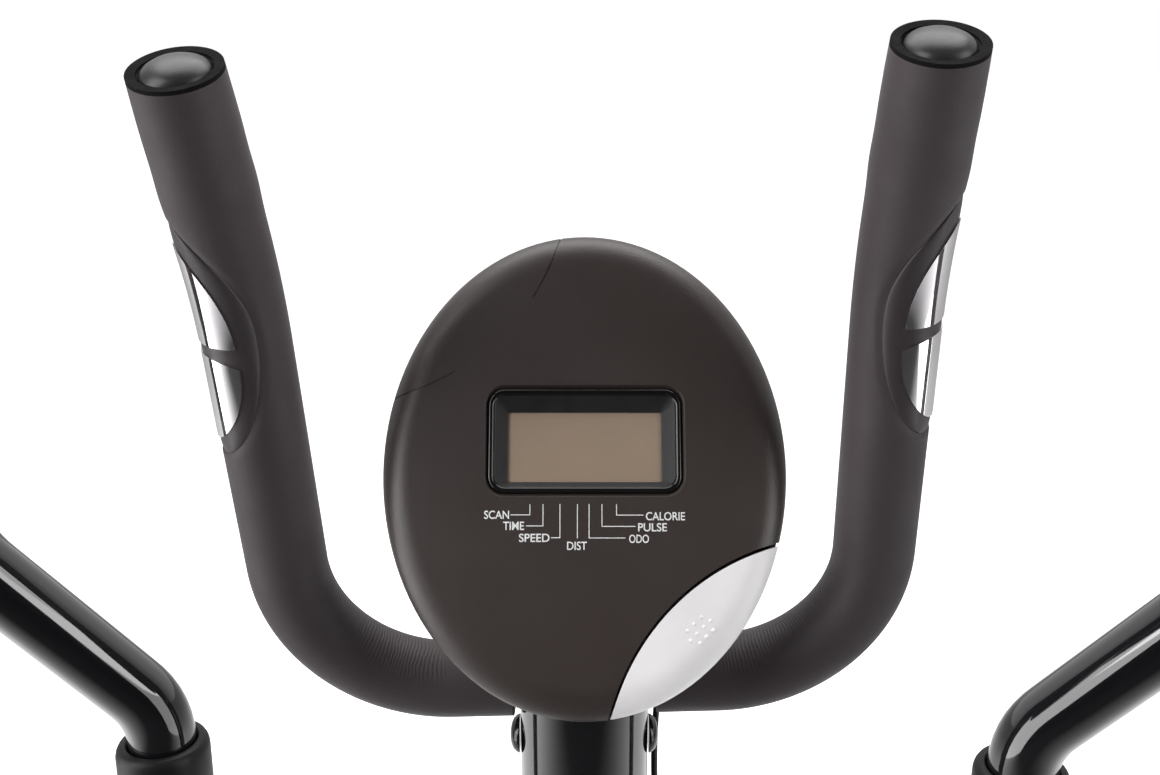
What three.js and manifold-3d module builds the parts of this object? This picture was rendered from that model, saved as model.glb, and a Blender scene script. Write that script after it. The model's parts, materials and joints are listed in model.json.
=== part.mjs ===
// An elliptical trainer as an assembly of named parts. Millimetres, +Z up, the user faces +Y.
// Pieces that touch keep a small gap, and every size below can be changed by itself.
import * as THREE from 'three';
import { mergeVertices } from 'three/addons/utils/BufferGeometryUtils.js';
import Module from 'manifold-3d';

const wasm = await Module();
wasm.setup();
const degrees = Math.PI / 180;

// Driving dimensions: the whole machine.
const gap = 0.3;
const runningGap = 0.5;
const machineLength = 1120;
const barHeight = 1120;
const postForward = 365;

// Base frame.
const stabilizerRadius = 25;
const stabilizerWall = 2;
const frontStabilizerLength = 470;
const rearStabilizerLength = 430;
const capRadius = 30;
const capLength = 62;
const capInsert = 24;
const footPad = 3;
const footHalfWidth = 14;
const wheelRadius = 24;
const wheelWidth = 20;
const wheelPinRadius = 4;
const keelWidth = 60;
const keelDepth = 40;
const keelWall = 2.5;
const saddleHalfWidth = 45;
const saddleHalfDepth = 20;
const socketWall = 4;
const socketHeight = 105;

// Post and what passes through it.
const postRadius = 30;
const postWall = 3;
const postAboveBar = 18;
const boltBelowBar = 31;
const boltRadius = 4;
const boltCapRadius = 9;
const boltCapHeight = 4.6;
const grommetBelowBar = 200;
const grommetProud = 4.6;
const knobHeight = 820;
const knobRadius = 27;
const knobDepth = 24;
const knobStemRadius = 5;

// Swing arms and their pivot.
const pivotHeight = 620;
const pivotAxleRadius = 9.5;
const crossTubeRadius = 17;
const swingSpacing = 205;
const swingTubeRadius = 19;
const handleFit = 0.6;
const swingBushRadius = 23;
const swingBushLength = 46;
const swingLowerLength = 400;
const ventRadius = 3;
const collarBelowBar = 42;
const collarWall = 3;
const collarHeight = 34;
const collarSkirt = 22;
const pivotCapHeight = 9;

// Upper handles.
const handleTubeRadius = 15.9;
const handleTubeWall = 2;
const handleInsert = 60;
const handleOut = 72;
const handleBack = 29;
const handleRise = 98;
const handleGripHeight = 338;
const handleGripLean = 18;
const handleFootRadius = 45;
const handleBendRadius = 58;
const handleFoamWall = 4.2;
const handleFoamLength = 290;

// Fixed handlebar: a U that stands a little crooked on its post.
const barTubeRadius = 12.7;
const barTubeWall = 1.8;
const barFoamRadius = 17.5;
const barHalfSpacing = 129;
const barBendRadius = 68;
const armRise = 196;
const armLean = 10 * degrees;
const tipLength = 92.6;
const tipLean = 24.8 * degrees;
const tipBendRadius = 178;
const barRoll = -1.95 * degrees;
const barYaw = -0.6 * degrees;
const foamFromPost = 3;
const foamOverhang = 3;
const plugHeight = 6;
const plugStem = 22;

// Pulse sensors on the handlebar arms.
const housingFromEnd = 52.5;
const housingLength = 105;
const housingThickness = 3.2;
const housingProud = 0.4;
const plateStandOff = 0.5;
const housingHalfAngle = 84 * degrees;
const sensorTurn = 27 * degrees;
const plateHalfAngle = 62 * degrees;
const plateThickness = 0.7;
const plateMargin = 6.5;
const plateBreak = 5;
const lowerPlateLength = 38.5;
const upperPlateLength = 47;

// Console.
const consoleHalfWidth = 87;
const consoleHalfHeight = 104.7;
const consoleTilt = 26 * degrees;
const consoleForward = -9;
const consoleAboveBar = 104.6;
const consoleFace = 12;
const consoleCrown = 1.5;
const consoleRound = 13;
const consoleSkirt = 3;
const consoleBackDepth = 17;
const consoleBackTaper = 24;
const consoleWall = 2.5;
const windowWidth = 82;
const windowHeight = 44.3;
const windowRise = 12.3;
const windowCorner = 7;
const displayWidth = 65;
const displayHeight = 29.7;
const displayDrop = 2.6;
const windowThickness = 2.5;
const buttonTravel = 1.2;
const buttonCircle = 97.2;
const buttonCircleX = 105.1;
const buttonCircleY = -125.9;
const buttonGap = 1;
const boardWidth = 106;
const boardHeight = 74;
const boardThickness = 1.6;
const batteryWidth = 58;
const batteryHeight = 34;
const bracketWidth = 30;
const bracketDepth = 36;
const bracketThickness = 3;
const bracketPlateWidth = 70;
const bracketPlateHeight = 96;
const cableRadius = 1.6;

// Drive.
const crankForward = -330;
const crankHeight = 275;
const crankRadius = 125;
const crankAxleRadius = 10;
const crankThickness = 16;
const crankClearance = 12;
const crankWidth = 36;
const bearingShellRadius = 25;
const bearingShellHalf = 30;
const pulleyRadius = 148;
const pulleyWidth = 16;
const pulleyOffset = 36;
const beltThickness = 3;
const beltWidth = 12;
const flywheelForward = -95;
const flywheelHeight = 235;
const flywheelRadius = 108;
const flywheelWidth = 22;
const flywheelAxleRadius = 7.5;
const smallPulleyRadius = 20;
const flywheelPlateX = 24;
const flywheelPlateThickness = 6;
const idlerRadius = 17;
const idlerPinRadius = 4;
const idlerForward = -195;
const magnetGap = 5;
const magnetThickness = 7;
const magnetPivotRadius = 34;
const magnetPivotAngle = -50 * degrees;
const coverHalfWidth = 72;
const coverWall = 3;
const coverRearRoom = 28;
const coverFrontRoom = 18;
const coverBevel = 9;

// Pedal arms and footplates.
const pedalGap = 1;
const pedalTube = 40;
const pedalTubeWall = 2.5;
const pedalLength = 708;
const pedalPinRadius = 8;
const pedalBossRadius = 21;
const footplateOffset = 8;
const footplateWidth = 130;
const footplateLength = 360;
const footplateFromPivot = 400;
const footplateThickness = 9;
const footplateRim = 26;
const footplateRimWall = 4;

// Places worked out from the sizes above.
const halfLength = machineLength / 2;
const stabilizerHeight = capRadius + footPad;
const wheelForward = capRadius + wheelRadius + 2;
const frontStabilizerY = halfLength - wheelForward - wheelRadius;
const rearStabilizerY = -halfLength + capRadius;
const keelBottom = stabilizerHeight + stabilizerRadius + gap;
const keelTop = keelBottom + keelDepth;
const coverRearRadius = pulleyRadius + coverRearRoom;
const coverFrontRadius = flywheelRadius + magnetGap + magnetThickness + coverFrontRoom;
const collarRadius = swingTubeRadius + collarWall;
const foamFromCentre = postRadius + foamFromPost;
const pedalCentre = swingSpacing - swingTubeRadius - pedalGap - pedalTube / 2;
const footplateCentre = pedalCentre + footplateOffset;
const crankFaceX = coverHalfWidth + crankClearance + crankThickness;
const beltCentre = pulleyOffset + pulleyWidth / 2 + 2;
const magnetPivotDistance = flywheelRadius + magnetPivotRadius;
const magnetPivotY = flywheelForward + magnetPivotDistance * Math.cos(magnetPivotAngle);
const magnetPivotZ = flywheelHeight + magnetPivotDistance * Math.sin(magnetPivotAngle);

// Paint, metal and plastic.
const material = (color, roughness, metalness) => ({ color, roughness, metalness });
const blackPaint = material(0x17171a, 0.25, 0.3);
const blackPlastic = material(0x1d1d1f, 0.5, 0);
const charcoalPlastic = material(0x3c3836, 0.42, 0);
const foam = material(0x2b2b2c, 0.95, 0);
const rubber = material(0x141415, 0.8, 0);
const chrome = material(0xd8d8da, 0.12, 1);
const steel = material(0x9a9b9e, 0.35, 1);
const iron = material(0x4a4b4d, 0.55, 0.9);
const glossBlack = material(0x0c0c0e, 0.12, 0);
const displayGrey = material(0x92836f, 0.35, 0);
const pearl = material(0xc9c9cc, 0.3, 0.4);
const boardGreen = material(0x1f5a34, 0.6, 0);

const point = (x, y, z) => new THREE.Vector3(x, y, z);

// Turns a closed geometry into a solid, with its faces the right way out.
function toSolid(geometry) {
  geometry.deleteAttribute('normal');
  geometry.deleteAttribute('uv');
  const merged = mergeVertices(geometry, 1e-4);
  const place = merged.attributes.position.array;
  const faces = [];
  for (let i = 0; i < merged.index.count; i += 3) {
    const [a, b, c] = merged.index.array.slice(i, i + 3);
    if (a !== b && b !== c && c !== a) faces.push([a, b, c]);
  }
  const corner = (i) => point(place[3 * i], place[3 * i + 1], place[3 * i + 2]);
  const volume = faces.reduce((sum, [a, b, c]) => sum + corner(a).dot(corner(b).cross(corner(c))), 0);
  const turned = volume < 0 ? faces.map(([a, b, c]) => [a, c, b]) : faces;
  const mesh = new wasm.Mesh({
    numProp: 3,
    vertProperties: new Float32Array(place),
    triVerts: new Uint32Array(turned.flat()),
  });
  mesh.merge();
  return new wasm.Manifold(mesh);
}

function toGeometry(solid) {
  const mesh = solid.getMesh();
  const geometry = new THREE.BufferGeometry();
  geometry.setAttribute('position', new THREE.BufferAttribute(mesh.vertProperties, 3));
  geometry.setIndex(new THREE.BufferAttribute(mesh.triVerts, 1));
  geometry.computeVertexNormals();
  return geometry;
}

// Simple solids. A rod runs along one axis between two places.
function block(x0, x1, y0, y1, z0, z1) {
  const geometry = new THREE.BoxGeometry(x1 - x0, y1 - y0, z1 - z0);
  geometry.translate((x0 + x1) / 2, (y0 + y1) / 2, (z0 + z1) / 2);
  return toSolid(geometry);
}

function rodX(radius, x0, x1, y, z, sides = 14) {
  const geometry = new THREE.CylinderGeometry(radius, radius, x1 - x0, sides);
  geometry.rotateZ(Math.PI / 2);
  geometry.translate((x0 + x1) / 2, y, z);
  return toSolid(geometry);
}

function rodY(radius, y0, y1, x, z, sides = 14) {
  const geometry = new THREE.CylinderGeometry(radius, radius, y1 - y0, sides);
  geometry.translate(x, (y0 + y1) / 2, z);
  return toSolid(geometry);
}

function rodZ(radius, z0, z1, x, y, sides = 14) {
  const geometry = new THREE.CylinderGeometry(radius, radius, z1 - z0, sides);
  geometry.rotateX(Math.PI / 2);
  geometry.translate(x, y, (z0 + z1) / 2);
  return toSolid(geometry);
}

// A hole's flats, not its corners, lie at the radius, so a rod of that radius passes through.
const widen = (radius, sides) => radius / Math.cos(Math.PI / sides);
const holeX = (radius, x0, x1, y, z, sides = 14) => rodX(widen(radius, sides), x0, x1, y, z, sides);
const holeY = (radius, y0, y1, x, z, sides = 14) => rodY(widen(radius, sides), y0, y1, x, z, sides);
const holeZ = (radius, z0, z1, x, y, sides = 14) => rodZ(widen(radius, sides), z0, z1, x, y, sides);

// Turns a profile of radius and height about Z. Both its ends lie on the axis, or it closes.
function turned(profile, sides = 20) {
  const points = profile.map(([radius, height]) => new THREE.Vector2(radius, height));
  const geometry = new THREE.LatheGeometry(points, sides);
  geometry.rotateX(Math.PI / 2);
  return toSolid(geometry);
}

function turnedAlongX(profile, x, y, z, sides = 20) {
  return turned(profile, sides).rotate([0, 90, 0]).translate([x, y, z]);
}

// Extrudes an outline drawn in Y and Z along X.
function extrudeX(shape, x0, x1, options = {}) {
  const settings = { depth: x1 - x0, bevelEnabled: false, curveSegments: 6, ...options };
  const geometry = new THREE.ExtrudeGeometry(shape, settings);
  const basis = new THREE.Matrix4().makeBasis(point(0, 1, 0), point(0, 0, 1), point(1, 0, 0));
  geometry.applyMatrix4(basis);
  geometry.translate(x0, 0, 0);
  return toSolid(geometry);
}

function extrudeZ(shape, z0, z1) {
  const settings = { depth: z1 - z0, bevelEnabled: false, curveSegments: 5 };
  const geometry = new THREE.ExtrudeGeometry(shape, settings);
  geometry.translate(0, 0, z0);
  return toSolid(geometry);
}

// A path visited only at its own points, with its sections kept square to a reference direction.
class SweepPath extends THREE.Curve {
  constructor(points, reference) {
    super();
    this.points = points;
    this.reference = reference;
  }
  getPointAt(t) {
    return this.points[Math.round(t * (this.points.length - 1))].clone();
  }
  getTangentAt(t) {
    const index = Math.round(t * (this.points.length - 1));
    const before = this.points[Math.max(index - 1, 0)];
    const after = this.points[Math.min(index + 1, this.points.length - 1)];
    return after.clone().sub(before).normalize();
  }
  computeFrenetFrames(segments) {
    const frames = { tangents: [], normals: [], binormals: [] };
    for (let i = 0; i <= segments; i += 1) {
      const tangent = this.getTangentAt(i / segments);
      const along = this.reference.dot(tangent);
      const normal = this.reference.clone().addScaledVector(tangent, -along).normalize();
      frames.tangents.push(tangent);
      frames.normals.push(normal);
      frames.binormals.push(tangent.clone().cross(normal));
    }
    return frames;
  }
}

// A swept section has ten sides. What goes inside one stays within its flats.
const sweepSides = 10;
const withinSweep = (radius) => radius * Math.cos(Math.PI / sweepSides) - gap;

function sweep(points, section, reference, curveSegments = sweepSides / 2) {
  const path = new SweepPath(points, reference);
  const settings = { steps: points.length - 1, extrudePath: path, curveSegments };
  return toSolid(new THREE.ExtrudeGeometry(section, settings));
}

function disc(radius, hole = 0) {
  const shape = new THREE.Shape();
  shape.absarc(0, 0, radius, 0, 2 * Math.PI, false);
  if (hole > 0) shape.holes.push(new THREE.Path().absarc(0, 0, hole, 0, 2 * Math.PI, true));
  return shape;
}

// Part of a ring between two radii, centred on one direction.
function ringPart(outer, inner, direction, halfAngle) {
  const shape = new THREE.Shape();
  shape.absarc(0, 0, outer, direction - halfAngle, direction + halfAngle, false);
  shape.absarc(0, 0, inner, direction + halfAngle, direction - halfAngle, true);
  return shape;
}

function roundedRectangle(width, height, radius, x = 0, y = 0) {
  const shape = new THREE.Shape();
  const right = width / 2 - radius;
  const top = height / 2 - radius;
  shape.absarc(x + right, y + top, radius, 0, Math.PI / 2, false);
  shape.absarc(x - right, y + top, radius, Math.PI / 2, Math.PI, false);
  shape.absarc(x - right, y - top, radius, Math.PI, 1.5 * Math.PI, false);
  shape.absarc(x + right, y - top, radius, 1.5 * Math.PI, 2 * Math.PI, false);
  return shape;
}

// Two circles and their outer tangents, as one outline.
function twoCircles(y0, z0, radius0, y1, z1, radius1) {
  const heading = Math.atan2(z1 - z0, y1 - y0);
  const spread = Math.acos((radius0 - radius1) / Math.hypot(y1 - y0, z1 - z0));
  const shape = new THREE.Shape();
  shape.absarc(y0, z0, radius0, heading + spread, heading - spread, false);
  shape.absarc(y1, z1, radius1, heading - spread, heading + spread, false);
  return shape;
}

// Rounds the inner corners of a run of straight lengths, in steps of about twenty degrees.
function roundedRun(corners, radii) {
  const run = [corners[0].clone()];
  for (let i = 1; i < corners.length - 1; i += 1) {
    const arriving = corners[i].clone().sub(corners[i - 1]).normalize();
    const leaving = corners[i + 1].clone().sub(corners[i]).normalize();
    const angle = arriving.angleTo(leaving);
    const setback = radii[i - 1] * Math.tan(angle / 2);
    const start = corners[i].clone().addScaledVector(arriving, -setback);
    const toCentre = leaving.clone().sub(arriving).normalize();
    const centreDistance = radii[i - 1] / Math.cos(angle / 2);
    const centre = corners[i].clone().addScaledVector(toCentre, centreDistance);
    const steps = Math.ceil(angle / (20 * degrees));
    const axis = arriving.clone().cross(leaving).normalize();
    const spoke = start.clone().sub(centre);
    for (let step = 0; step <= steps; step += 1) {
      run.push(spoke.clone().applyAxisAngle(axis, (angle * step) / steps).add(centre));
    }
  }
  run.push(corners[corners.length - 1].clone());
  return run;
}

function runLength(run) {
  return run.slice(1).reduce((sum, place, i) => sum + place.distanceTo(run[i]), 0);
}

// The stretch of a run between two distances along it.
function stretch(run, from, to) {
  const part = [];
  let passed = 0;
  for (let i = 1; i < run.length; i += 1) {
    const length = run[i].distanceTo(run[i - 1]);
    const at = (distance) => run[i - 1].clone().lerp(run[i], (distance - passed) / length);
    if (from >= passed && from < passed + length) part.push(at(from));
    if (passed + length > from && passed + length < to) part.push(run[i].clone());
    if (to > passed && to <= passed + length) part.push(at(to));
    passed += length;
  }
  return part;
}

const trainer = new THREE.Group();
const sides = { left: -1, right: 1 };
const forBoth = (make) => Object.entries(sides).forEach(([side, sign]) => make(side, sign));
const mirrorTo = (sign, solid) => (sign < 0 ? solid.mirror([1, 0, 0]) : solid);

function add(parent, name, solid, look) {
  const mesh = new THREE.Mesh(toGeometry(solid), new THREE.MeshStandardMaterial(look));
  mesh.name = name;
  parent.add(mesh);
}

function group(x, y, z, turnX = 0) {
  const made = new THREE.Group();
  made.position.set(x, y, z);
  made.rotation.x = turnX;
  trainer.add(made);
  return made;
}

// The base: keel with saddles, post socket, crank shell and the plates for flywheel and magnet.
function keelFrame() {
  const halfKeel = keelWidth / 2;
  let frame = block(-halfKeel, halfKeel, rearStabilizerY, frontStabilizerY, keelBottom, keelTop);
  [frontStabilizerY, rearStabilizerY].forEach((y) => {
    const low = stabilizerHeight + 8;
    const saddle = block(-saddleHalfWidth, saddleHalfWidth, y - saddleHalfDepth, y + saddleHalfDepth,
      low, keelBottom + 4);
    frame = frame.add(saddle);
  });
  const socket = rodZ(postRadius + gap + socketWall, keelTop - 1, keelTop + socketHeight, 0, postForward);
  const crankPost = block(-15, 15, crankForward - 22, crankForward + 22, keelTop - 1, crankHeight);
  const shell = rodX(bearingShellRadius, -bearingShellHalf, bearingShellHalf, crankForward, crankHeight);
  frame = frame.add(socket).add(crankPost).add(shell);
  [-flywheelPlateX - flywheelPlateThickness, flywheelPlateX].forEach((x) => {
    const end = x + flywheelPlateThickness;
    const plate = block(x, end, flywheelForward - 16, flywheelForward + 16, keelTop - 1, flywheelHeight);
    const lug = block(x, end, magnetPivotY - 9, magnetPivotY + 9, keelTop - 1, magnetPivotZ);
    const round = rodX(16, x, end, flywheelForward, flywheelHeight);
    frame = frame.add(plate).add(round).add(lug).add(rodX(9, x, end, magnetPivotY, magnetPivotZ, 16));
  });
  const idler = idlerPlace();
  const idlerLug = block(flywheelPlateX, flywheelPlateX + flywheelPlateThickness, idler.y - 8, idler.y + 8,
    keelTop - 1, idler.z + 8);
  const idlerPin = rodX(idlerPinRadius, flywheelPlateX + 1, beltCentre + beltWidth / 2 + 6, idler.y, idler.z);
  frame = frame.add(idlerLug).add(idlerPin);
  const inside = block(-halfKeel + keelWall, halfKeel - keelWall, rearStabilizerY - 1,
    frontStabilizerY + 1, keelBottom + keelWall, keelTop - keelWall);
  frame = frame.subtract(inside);
  [frontStabilizerY, rearStabilizerY].forEach((y) => {
    frame = frame.subtract(holeX(stabilizerRadius + gap, -80, 80, y, stabilizerHeight, 24));
  });
  const cableHole = 8;
  return frame
    .subtract(holeZ(postRadius + gap, keelTop + 3, keelTop + socketHeight + 1, 0, postForward, 24))
    .subtract(holeZ(cableHole, keelTop - keelWall - 1, keelTop + 4, 0, postForward, 16))
    .subtract(holeX(crankAxleRadius + runningGap, -bearingShellHalf - 1, bearingShellHalf + 1,
      crankForward, crankHeight))
    .subtract(holeX(flywheelAxleRadius + gap, -60, 60, flywheelForward, flywheelHeight))
    .subtract(holeX(4 + gap, -60, 60, magnetPivotY, magnetPivotZ, 16));
}

function stabilizer(length, y) {
  const tube = rodX(stabilizerRadius, -length / 2, length / 2, y, stabilizerHeight, 20);
  return tube.subtract(holeX(stabilizerRadius - stabilizerWall, -length, length, y, stabilizerHeight, 12));
}

// A cup over the stabilizer's end, with a flat foot that stands on the floor.
function endCap(length, y) {
  const inner = length / 2 - capInsert;
  const bore = widen(stabilizerRadius + gap, 16);
  const profile = [
    [bore, 0], [capRadius - 1, 0], [capRadius, 2], [capRadius, capLength - 8],
    [capRadius - 5, capLength - 1.5], [capRadius - 12, capLength], [0, capLength],
    [0, capInsert + gap], [bore, capInsert + gap],
  ];
  const cap = turnedAlongX([...profile, profile[0]], inner, y, stabilizerHeight, 16);
  const foot = block(inner + 8, inner + capLength - 10, y - footHalfWidth, y + footHalfWidth, 0, 12);
  return cap.add(foot).subtract(holeX(stabilizerRadius + gap, inner - 1, length / 2 + gap, y,
    stabilizerHeight, 16));
}

function frontCap() {
  const wheelX = frontStabilizerLength / 2 + capLength - capInsert - 24;
  const cheekY = frontStabilizerY + wheelForward;
  let cap = endCap(frontStabilizerLength, frontStabilizerY);
  [wheelX - wheelWidth / 2 - 6.5, wheelX + wheelWidth / 2 + 0.5].forEach((x) => {
    const low = stabilizerHeight - 10;
    const cheek = block(x, x + 6, frontStabilizerY + capRadius - 3, cheekY, low, low + 20);
    cap = cap.add(cheek).add(rodX(10, x, x + 6, cheekY, stabilizerHeight, 20));
  });
  return cap.add(rodX(wheelPinRadius, wheelX - 12, wheelX + 12, cheekY, stabilizerHeight, 16));
}

function transportWheel() {
  const wheelX = frontStabilizerLength / 2 + capLength - capInsert - 24;
  const half = wheelWidth / 2;
  const bore = widen(wheelPinRadius + runningGap, 20);
  const profile = [
    [bore, -half], [wheelRadius - 3, -half], [wheelRadius, -half + 3], [wheelRadius, half - 3],
    [wheelRadius - 3, half], [bore, half],
  ];
  return turnedAlongX([...profile, profile[0]], wheelX, frontStabilizerY + wheelForward,
    stabilizerHeight, 20);
}

function placeBase() {
  add(trainer, 'keel_frame', keelFrame(), blackPaint);
  add(trainer, 'front_stabilizer', stabilizer(frontStabilizerLength, frontStabilizerY), blackPaint);
  add(trainer, 'rear_stabilizer', stabilizer(rearStabilizerLength, rearStabilizerY), blackPaint);
  forBoth((side, sign) => {
    add(trainer, `front_cap_${side}`, mirrorTo(sign, frontCap()), blackPlastic);
    const rear = endCap(rearStabilizerLength, rearStabilizerY);
    add(trainer, `rear_cap_${side}`, mirrorTo(sign, rear), blackPlastic);
    add(trainer, `transport_wheel_${side}`, mirrorTo(sign, transportWheel()), rubber);
  });
}

// Turns a solid drawn about the handlebar's centre by the bar's own crooked stance.
function crooked(solid) {
  return solid.rotate([0, barRoll / degrees, barYaw / degrees]);
}

function post() {
  const pivotReach = swingSpacing - swingBushLength / 2 - runningGap;
  const barBore = crooked(holeX(barTubeRadius + gap, -60, 60, 0, 0)).translate([0, postForward, barHeight]);
  return rodZ(postRadius, keelTop + 3 + gap, barHeight + postAboveBar, 0, postForward, 24)
    .subtract(holeZ(postRadius - postWall, 0, 2 * barHeight, 0, postForward, 16))
    .add(rodX(crossTubeRadius, -pivotReach, pivotReach, postForward, pivotHeight))
    .subtract(holeX(pivotAxleRadius + gap, -300, 300, postForward, pivotHeight))
    .subtract(barBore)
    .subtract(holeX(boltRadius + gap, -60, 60, postForward, barHeight - boltBelowBar, 12))
    .subtract(holeX(4, 10, 60, postForward, barHeight - grommetBelowBar, 12))
    .subtract(holeY(knobStemRadius + runningGap, postForward - 60, postForward, 0, knobHeight, 16));
}

function topBolt() {
  const head = postRadius + gap;
  const dome = [[0, head], [boltCapRadius, head]];
  for (let angle = 30; angle <= 90; angle += 30) {
    const radius = boltCapRadius * Math.cos(angle * degrees);
    dome.push([Math.max(radius, 0), head + 1 + (boltCapHeight - 1) * Math.sin(angle * degrees)]);
  }
  dome[dome.length - 1][0] = 0;
  const cap = turnedAlongX(dome, 0, 0, 0, 16);
  const bolt = rodX(boltRadius, -head - 1, head + 1, 0, 0, 12).add(cap).add(cap.mirror([1, 0, 0]));
  return bolt.translate([0, postForward, barHeight - boltBelowBar]);
}

function tensionKnob() {
  const face = postForward - postRadius - gap;
  let knob = rodY(knobRadius, face - knobDepth, face - 2, 0, knobHeight, 24);
  const flutes = 6;
  for (let i = 0; i < flutes; i += 1) {
    const angle = (2 * Math.PI * i) / flutes;
    const reach = knobRadius + 3;
    knob = knob.subtract(holeY(6, face - knobDepth - 1, face - 8, reach * Math.cos(angle),
      knobHeight + reach * Math.sin(angle), 8));
  }
  return knob.add(rodY(knobStemRadius, face - 3, postForward - 8, 0, knobHeight, 16));
}

function placePost() {
  add(trainer, 'post', post(), blackPaint);
  add(trainer, 'top_bolt', topBolt(), glossBlack);
  add(trainer, 'tension_knob', tensionKnob(), blackPlastic);
}

// The handlebar's right half, from the centre of the bar to the tip of the arm.
function armRun() {
  const elbow = point(barHalfSpacing, -armRise * Math.sin(armLean), armRise * Math.cos(armLean));
  const tip = elbow.clone().add(point(0, -tipLength * Math.sin(tipLean), tipLength * Math.cos(tipLean)));
  const corners = [point(0, 0, 0), point(barHalfSpacing, 0, 0), elbow, tip];
  return roundedRun(corners, [barBendRadius, tipBendRadius]);
}

const forwards = point(0, 1, 0);

// The direction of the sensors in a section whose first axis is +Y and second is -X.
function sensorSection(outer, inner, halfAngle) {
  const direction = Math.atan2(-Math.cos(sensorTurn), -Math.sin(sensorTurn));
  return ringPart(outer, inner, direction, halfAngle);
}

function handlebarTube() {
  const right = armRun();
  const left = right.slice(1).map((place) => point(-place.x, place.y, place.z)).reverse();
  const section = disc(barTubeRadius, barTubeRadius - barTubeWall);
  return sweep([...left, ...right], section, forwards);
}

function gripFoam() {
  const run = armRun();
  const end = runLength(run);
  const section = disc(barFoamRadius, barTubeRadius + gap);
  const covered = stretch(run, foamFromCentre, end);
  const tip = covered[covered.length - 1];
  const heading = tip.clone().sub(covered[covered.length - 2]).normalize();
  covered.push(tip.clone().addScaledVector(heading, foamOverhang));
  const sensors = stretch(run, end - housingFromEnd - housingLength - gap, end - housingFromEnd + gap);
  const inner = barFoamRadius - housingThickness - gap;
  const angle = housingHalfAngle + gap / barFoamRadius;
  const pocket = sweep(sensors, sensorSection(barFoamRadius + 4, inner, angle), forwards, 6);
  return sweep(covered, section, forwards).subtract(pocket);
}

function gripPlug() {
  const run = armRun();
  const tip = run[run.length - 1];
  const stem = withinSweep(barTubeRadius - barTubeWall);
  const wide = withinSweep(barTubeRadius + gap);
  const dome = [[0, -plugStem], [stem, -plugStem], [stem, gap], [wide, gap]];
  for (let angle = 0; angle <= 90; angle += 30) {
    const radius = wide * Math.cos(angle * degrees);
    dome.push([angle === 90 ? 0 : radius, 1.2 + (plugHeight - 1.2) * Math.sin(angle * degrees)]);
  }
  return turned(dome, 16).rotate([tipLean / degrees, 0, 0]).translate([tip.x, tip.y, tip.z]);
}

function pulseHousing() {
  const run = armRun();
  const end = runLength(run) - housingFromEnd;
  const section = sensorSection(barFoamRadius + housingProud, barFoamRadius - housingThickness,
    housingHalfAngle);
  return sweep(stretch(run, end - housingLength, end), section, forwards, 6);
}

function contactPlate(from, length) {
  const run = armRun();
  const start = runLength(run) - housingFromEnd - housingLength + from;
  const inner = barFoamRadius + housingProud + plateStandOff;
  const section = sensorSection(inner + plateThickness, inner, plateHalfAngle);
  return sweep(stretch(run, start, start + length), section, forwards, 6);
}

function placeHandlebar() {
  const bar = group(0, postForward, barHeight);
  bar.rotation.set(0, barRoll, barYaw, 'ZYX');
  const upperFrom = plateMargin + lowerPlateLength + plateBreak;
  add(bar, 'handlebar_tube', handlebarTube(), blackPaint);
  forBoth((side, sign) => {
    add(bar, `grip_foam_${side}`, mirrorTo(sign, gripFoam()), foam);
    add(bar, `grip_plug_${side}`, mirrorTo(sign, gripPlug()), glossBlack);
    add(bar, `pulse_housing_${side}`, mirrorTo(sign, pulseHousing()), blackPlastic);
    const lower = contactPlate(plateMargin, lowerPlateLength);
    const upper = contactPlate(upperFrom, upperPlateLength);
    add(bar, `contact_plate_lower_${side}`, mirrorTo(sign, lower), chrome);
    add(bar, `contact_plate_upper_${side}`, mirrorTo(sign, upper), chrome);
  });
}

// The console, drawn with its face towards +Z and then tilted. An oval is a scaled turned shape.
const ovalScale = [1, consoleHalfHeight / consoleHalfWidth, 1];
const ovalSides = 32;

function roundOver(radius, height, depth, inset, steps) {
  const profile = [];
  for (let i = 0; i <= steps; i += 1) {
    const angle = (Math.PI / 2) * (1 - i / steps);
    profile.push([radius - inset + inset * Math.cos(angle), height - depth + depth * Math.sin(angle)]);
  }
  return profile;
}

function consoleOuter(grow = 0) {
  const edge = roundOver(consoleHalfWidth + grow, consoleFace + grow, consoleFace, consoleRound, 4);
  const profile = [[0, consoleFace + consoleCrown + grow], ...edge];
  profile.push([consoleHalfWidth + grow, -consoleSkirt], [0, -consoleSkirt]);
  return turned(profile, ovalSides).scale(ovalScale);
}

function consoleInner() {
  const radius = consoleHalfWidth - consoleWall;
  const edge = roundOver(radius, consoleFace - consoleWall, consoleFace, consoleRound - consoleWall, 3);
  const profile = [[0, consoleFace + consoleCrown - consoleWall], ...edge];
  profile.push([radius, -consoleSkirt - 1], [0, -consoleSkirt - 1]);
  return turned(profile, ovalSides).scale(ovalScale);
}

function buttonReach(radius, z0, z1) {
  return rodZ(radius, z0, z1, buttonCircleX, buttonCircleY, 72);
}

function windowOpening(grow, z0, z1) {
  const width = windowWidth + 2 * grow;
  const shape = roundedRectangle(width, windowHeight + 2 * grow, windowCorner + grow, 0, windowRise);
  return extrudeZ(shape, z0, z1);
}

function consoleFront() {
  const cut = buttonReach(buttonCircle + buttonGap, -consoleSkirt - 20, consoleFace + 20);
  return consoleOuter().subtract(consoleInner()).subtract(cut).subtract(windowOpening(gap, -20, 40));
}

function modeButton() {
  const thick = consoleOuter().subtract(consoleInner());
  return thick.intersect(buttonReach(buttonCircle, -consoleSkirt + buttonTravel + 1, 40));
}

function displayWindow() {
  const top = consoleFace + 0.6;
  const opening = roundedRectangle(displayWidth, displayHeight, 2, 0, windowRise - displayDrop);
  return windowOpening(0, top - windowThickness, top).subtract(extrudeZ(opening, -40, 40));
}

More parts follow.
